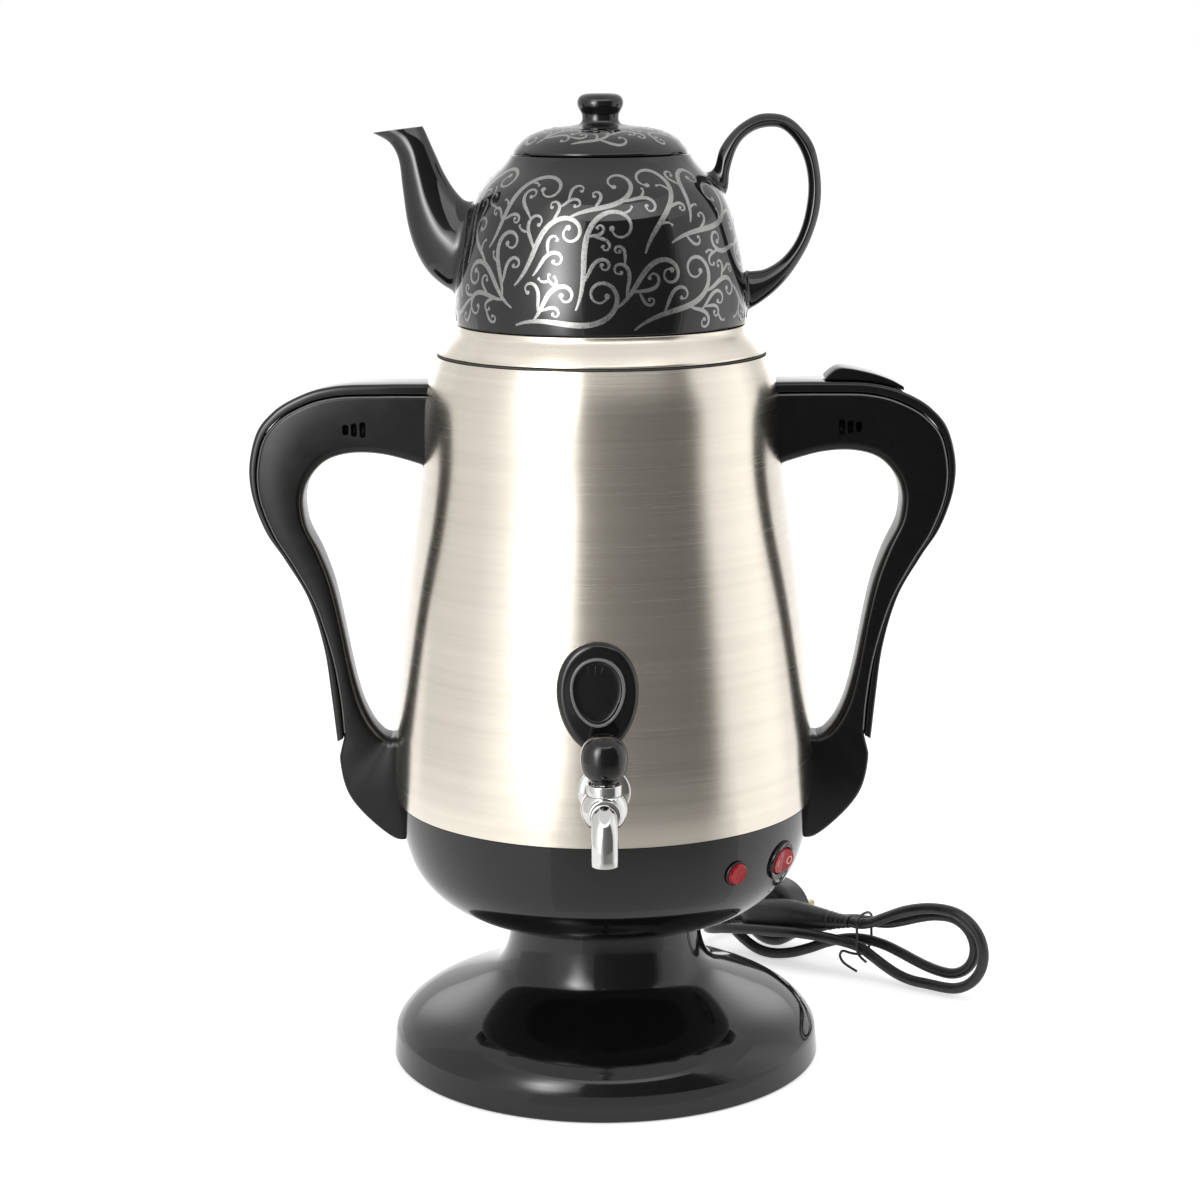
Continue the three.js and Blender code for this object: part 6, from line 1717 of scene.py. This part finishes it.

# %% [markdown]
# ## What moves with what
# Every piece rides on a body of the engineering model and hides the plain parts that it stands
# for; the table also lists its finish's slot. When a pose lifts the lid, its ring, seal, pot and
# vines go with it, each with its own body.

# %% Rides, replacements and slots
ride_table = [
    (tank, ["tank_shell"], "samovar", "brushed_steel"),
    (dish, ["tank_bottom"], "samovar", "brushed_steel"),
    (foot, ["base_foot"], "samovar", "gloss_black"),
    (bowl, ["bowl_housing"], "samovar", "gloss_black"),
    (lid_ring, ["top_lid", "lid_collar"], "lid", "brushed_steel"),
    (seal, ["lid_seal"], "lid", "seal_rubber"),
    (pot_body, ["teapot_body"], "teapot", "black_glaze"),
    (pot_spout, ["teapot_body"], "teapot", "black_glaze"),
    (pot_handle, ["teapot_body"], "teapot", "black_glaze"),
    (pot_vines, [], "teapot", "black_glaze"),
    (pot_cover, ["teapot_lid"], "teapot_cover", "black_glaze"),
    (cover_vines, [], "teapot_cover", "black_glaze"),
    (right_grip, ["right_handle_grip"], "samovar", "satin_black"),
    (left_grip, ["left_handle_grip"], "samovar", "satin_black"),
    (right_strip, ["right_handle_strip"], "samovar", "gloss_black"),
    (left_strip, ["left_handle_strip"], "samovar", "gloss_black"),
    (right_highlight_bead, [], "samovar", "satin_black"),
    (left_highlight_bead, [], "samovar", "satin_black"),
    (thumb_rest, ["thumb_rest"], "samovar", "satin_black"),
    (badge, ["front_badge"], "samovar", "satin_black"),
    (tap_ring, ["tap_seal"], "samovar", "seal_rubber"),
    (tap_rose, ["tap_flange"], "samovar", "chrome"),
    (tap_barrel, ["tap_body"], "samovar", "chrome"),
    (tap_cap, ["tap_bonnet"], "samovar", "chrome"),
    (tap_outlet, ["tap_spout"], "samovar", "chrome"),
    (knob, ["tap_knob"], "tap_valve", "gloss_black"),
    (lamp_ring, ["lamp_bezel"], "samovar", "satin_black"),
    (lens, ["lamp_lens"], "samovar", "red_clear"),
    (switch_ring, ["switch_housing"], "samovar", "satin_black"),
    (rocker_cap, ["switch_rocker"], "rocker", "red_clear"),
    (rocker_marks, [], "rocker", "red_clear"),
    (boot, ["cord_gland"], "samovar", "cord_black"),
    (foot_pads, ["rubber_pad_1", "rubber_pad_2", "rubber_pad_3", "rubber_pad_4"], "samovar", "pad_rubber"),
    (base_screws, ["plate_screw_1", "plate_screw_2", "plate_screw_3"], "samovar", "zinc_steel"),
    (plug, ["plug_body"], "samovar", "cord_black"),
    (pins[0], ["plug_pin_1"], "samovar", "brass"),
    (pins[1], ["plug_pin_2"], "samovar", "brass"),
    (wire_tie, ["twist_tie"], "samovar", "cord_black"),
    (mains_cord, ["cord_lead", "cord_hank"], "samovar", "cord_black"),
]
for piece, nodes, body, slot in ride_table:
    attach(piece, body)
    if nodes:
        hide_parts(*nodes)
triangles = sum(len(row[0].data.loops) - 2 * len(row[0].data.polygons) for row in ride_table)
print("pieces:", len(ride_table), "triangles:", triangles)
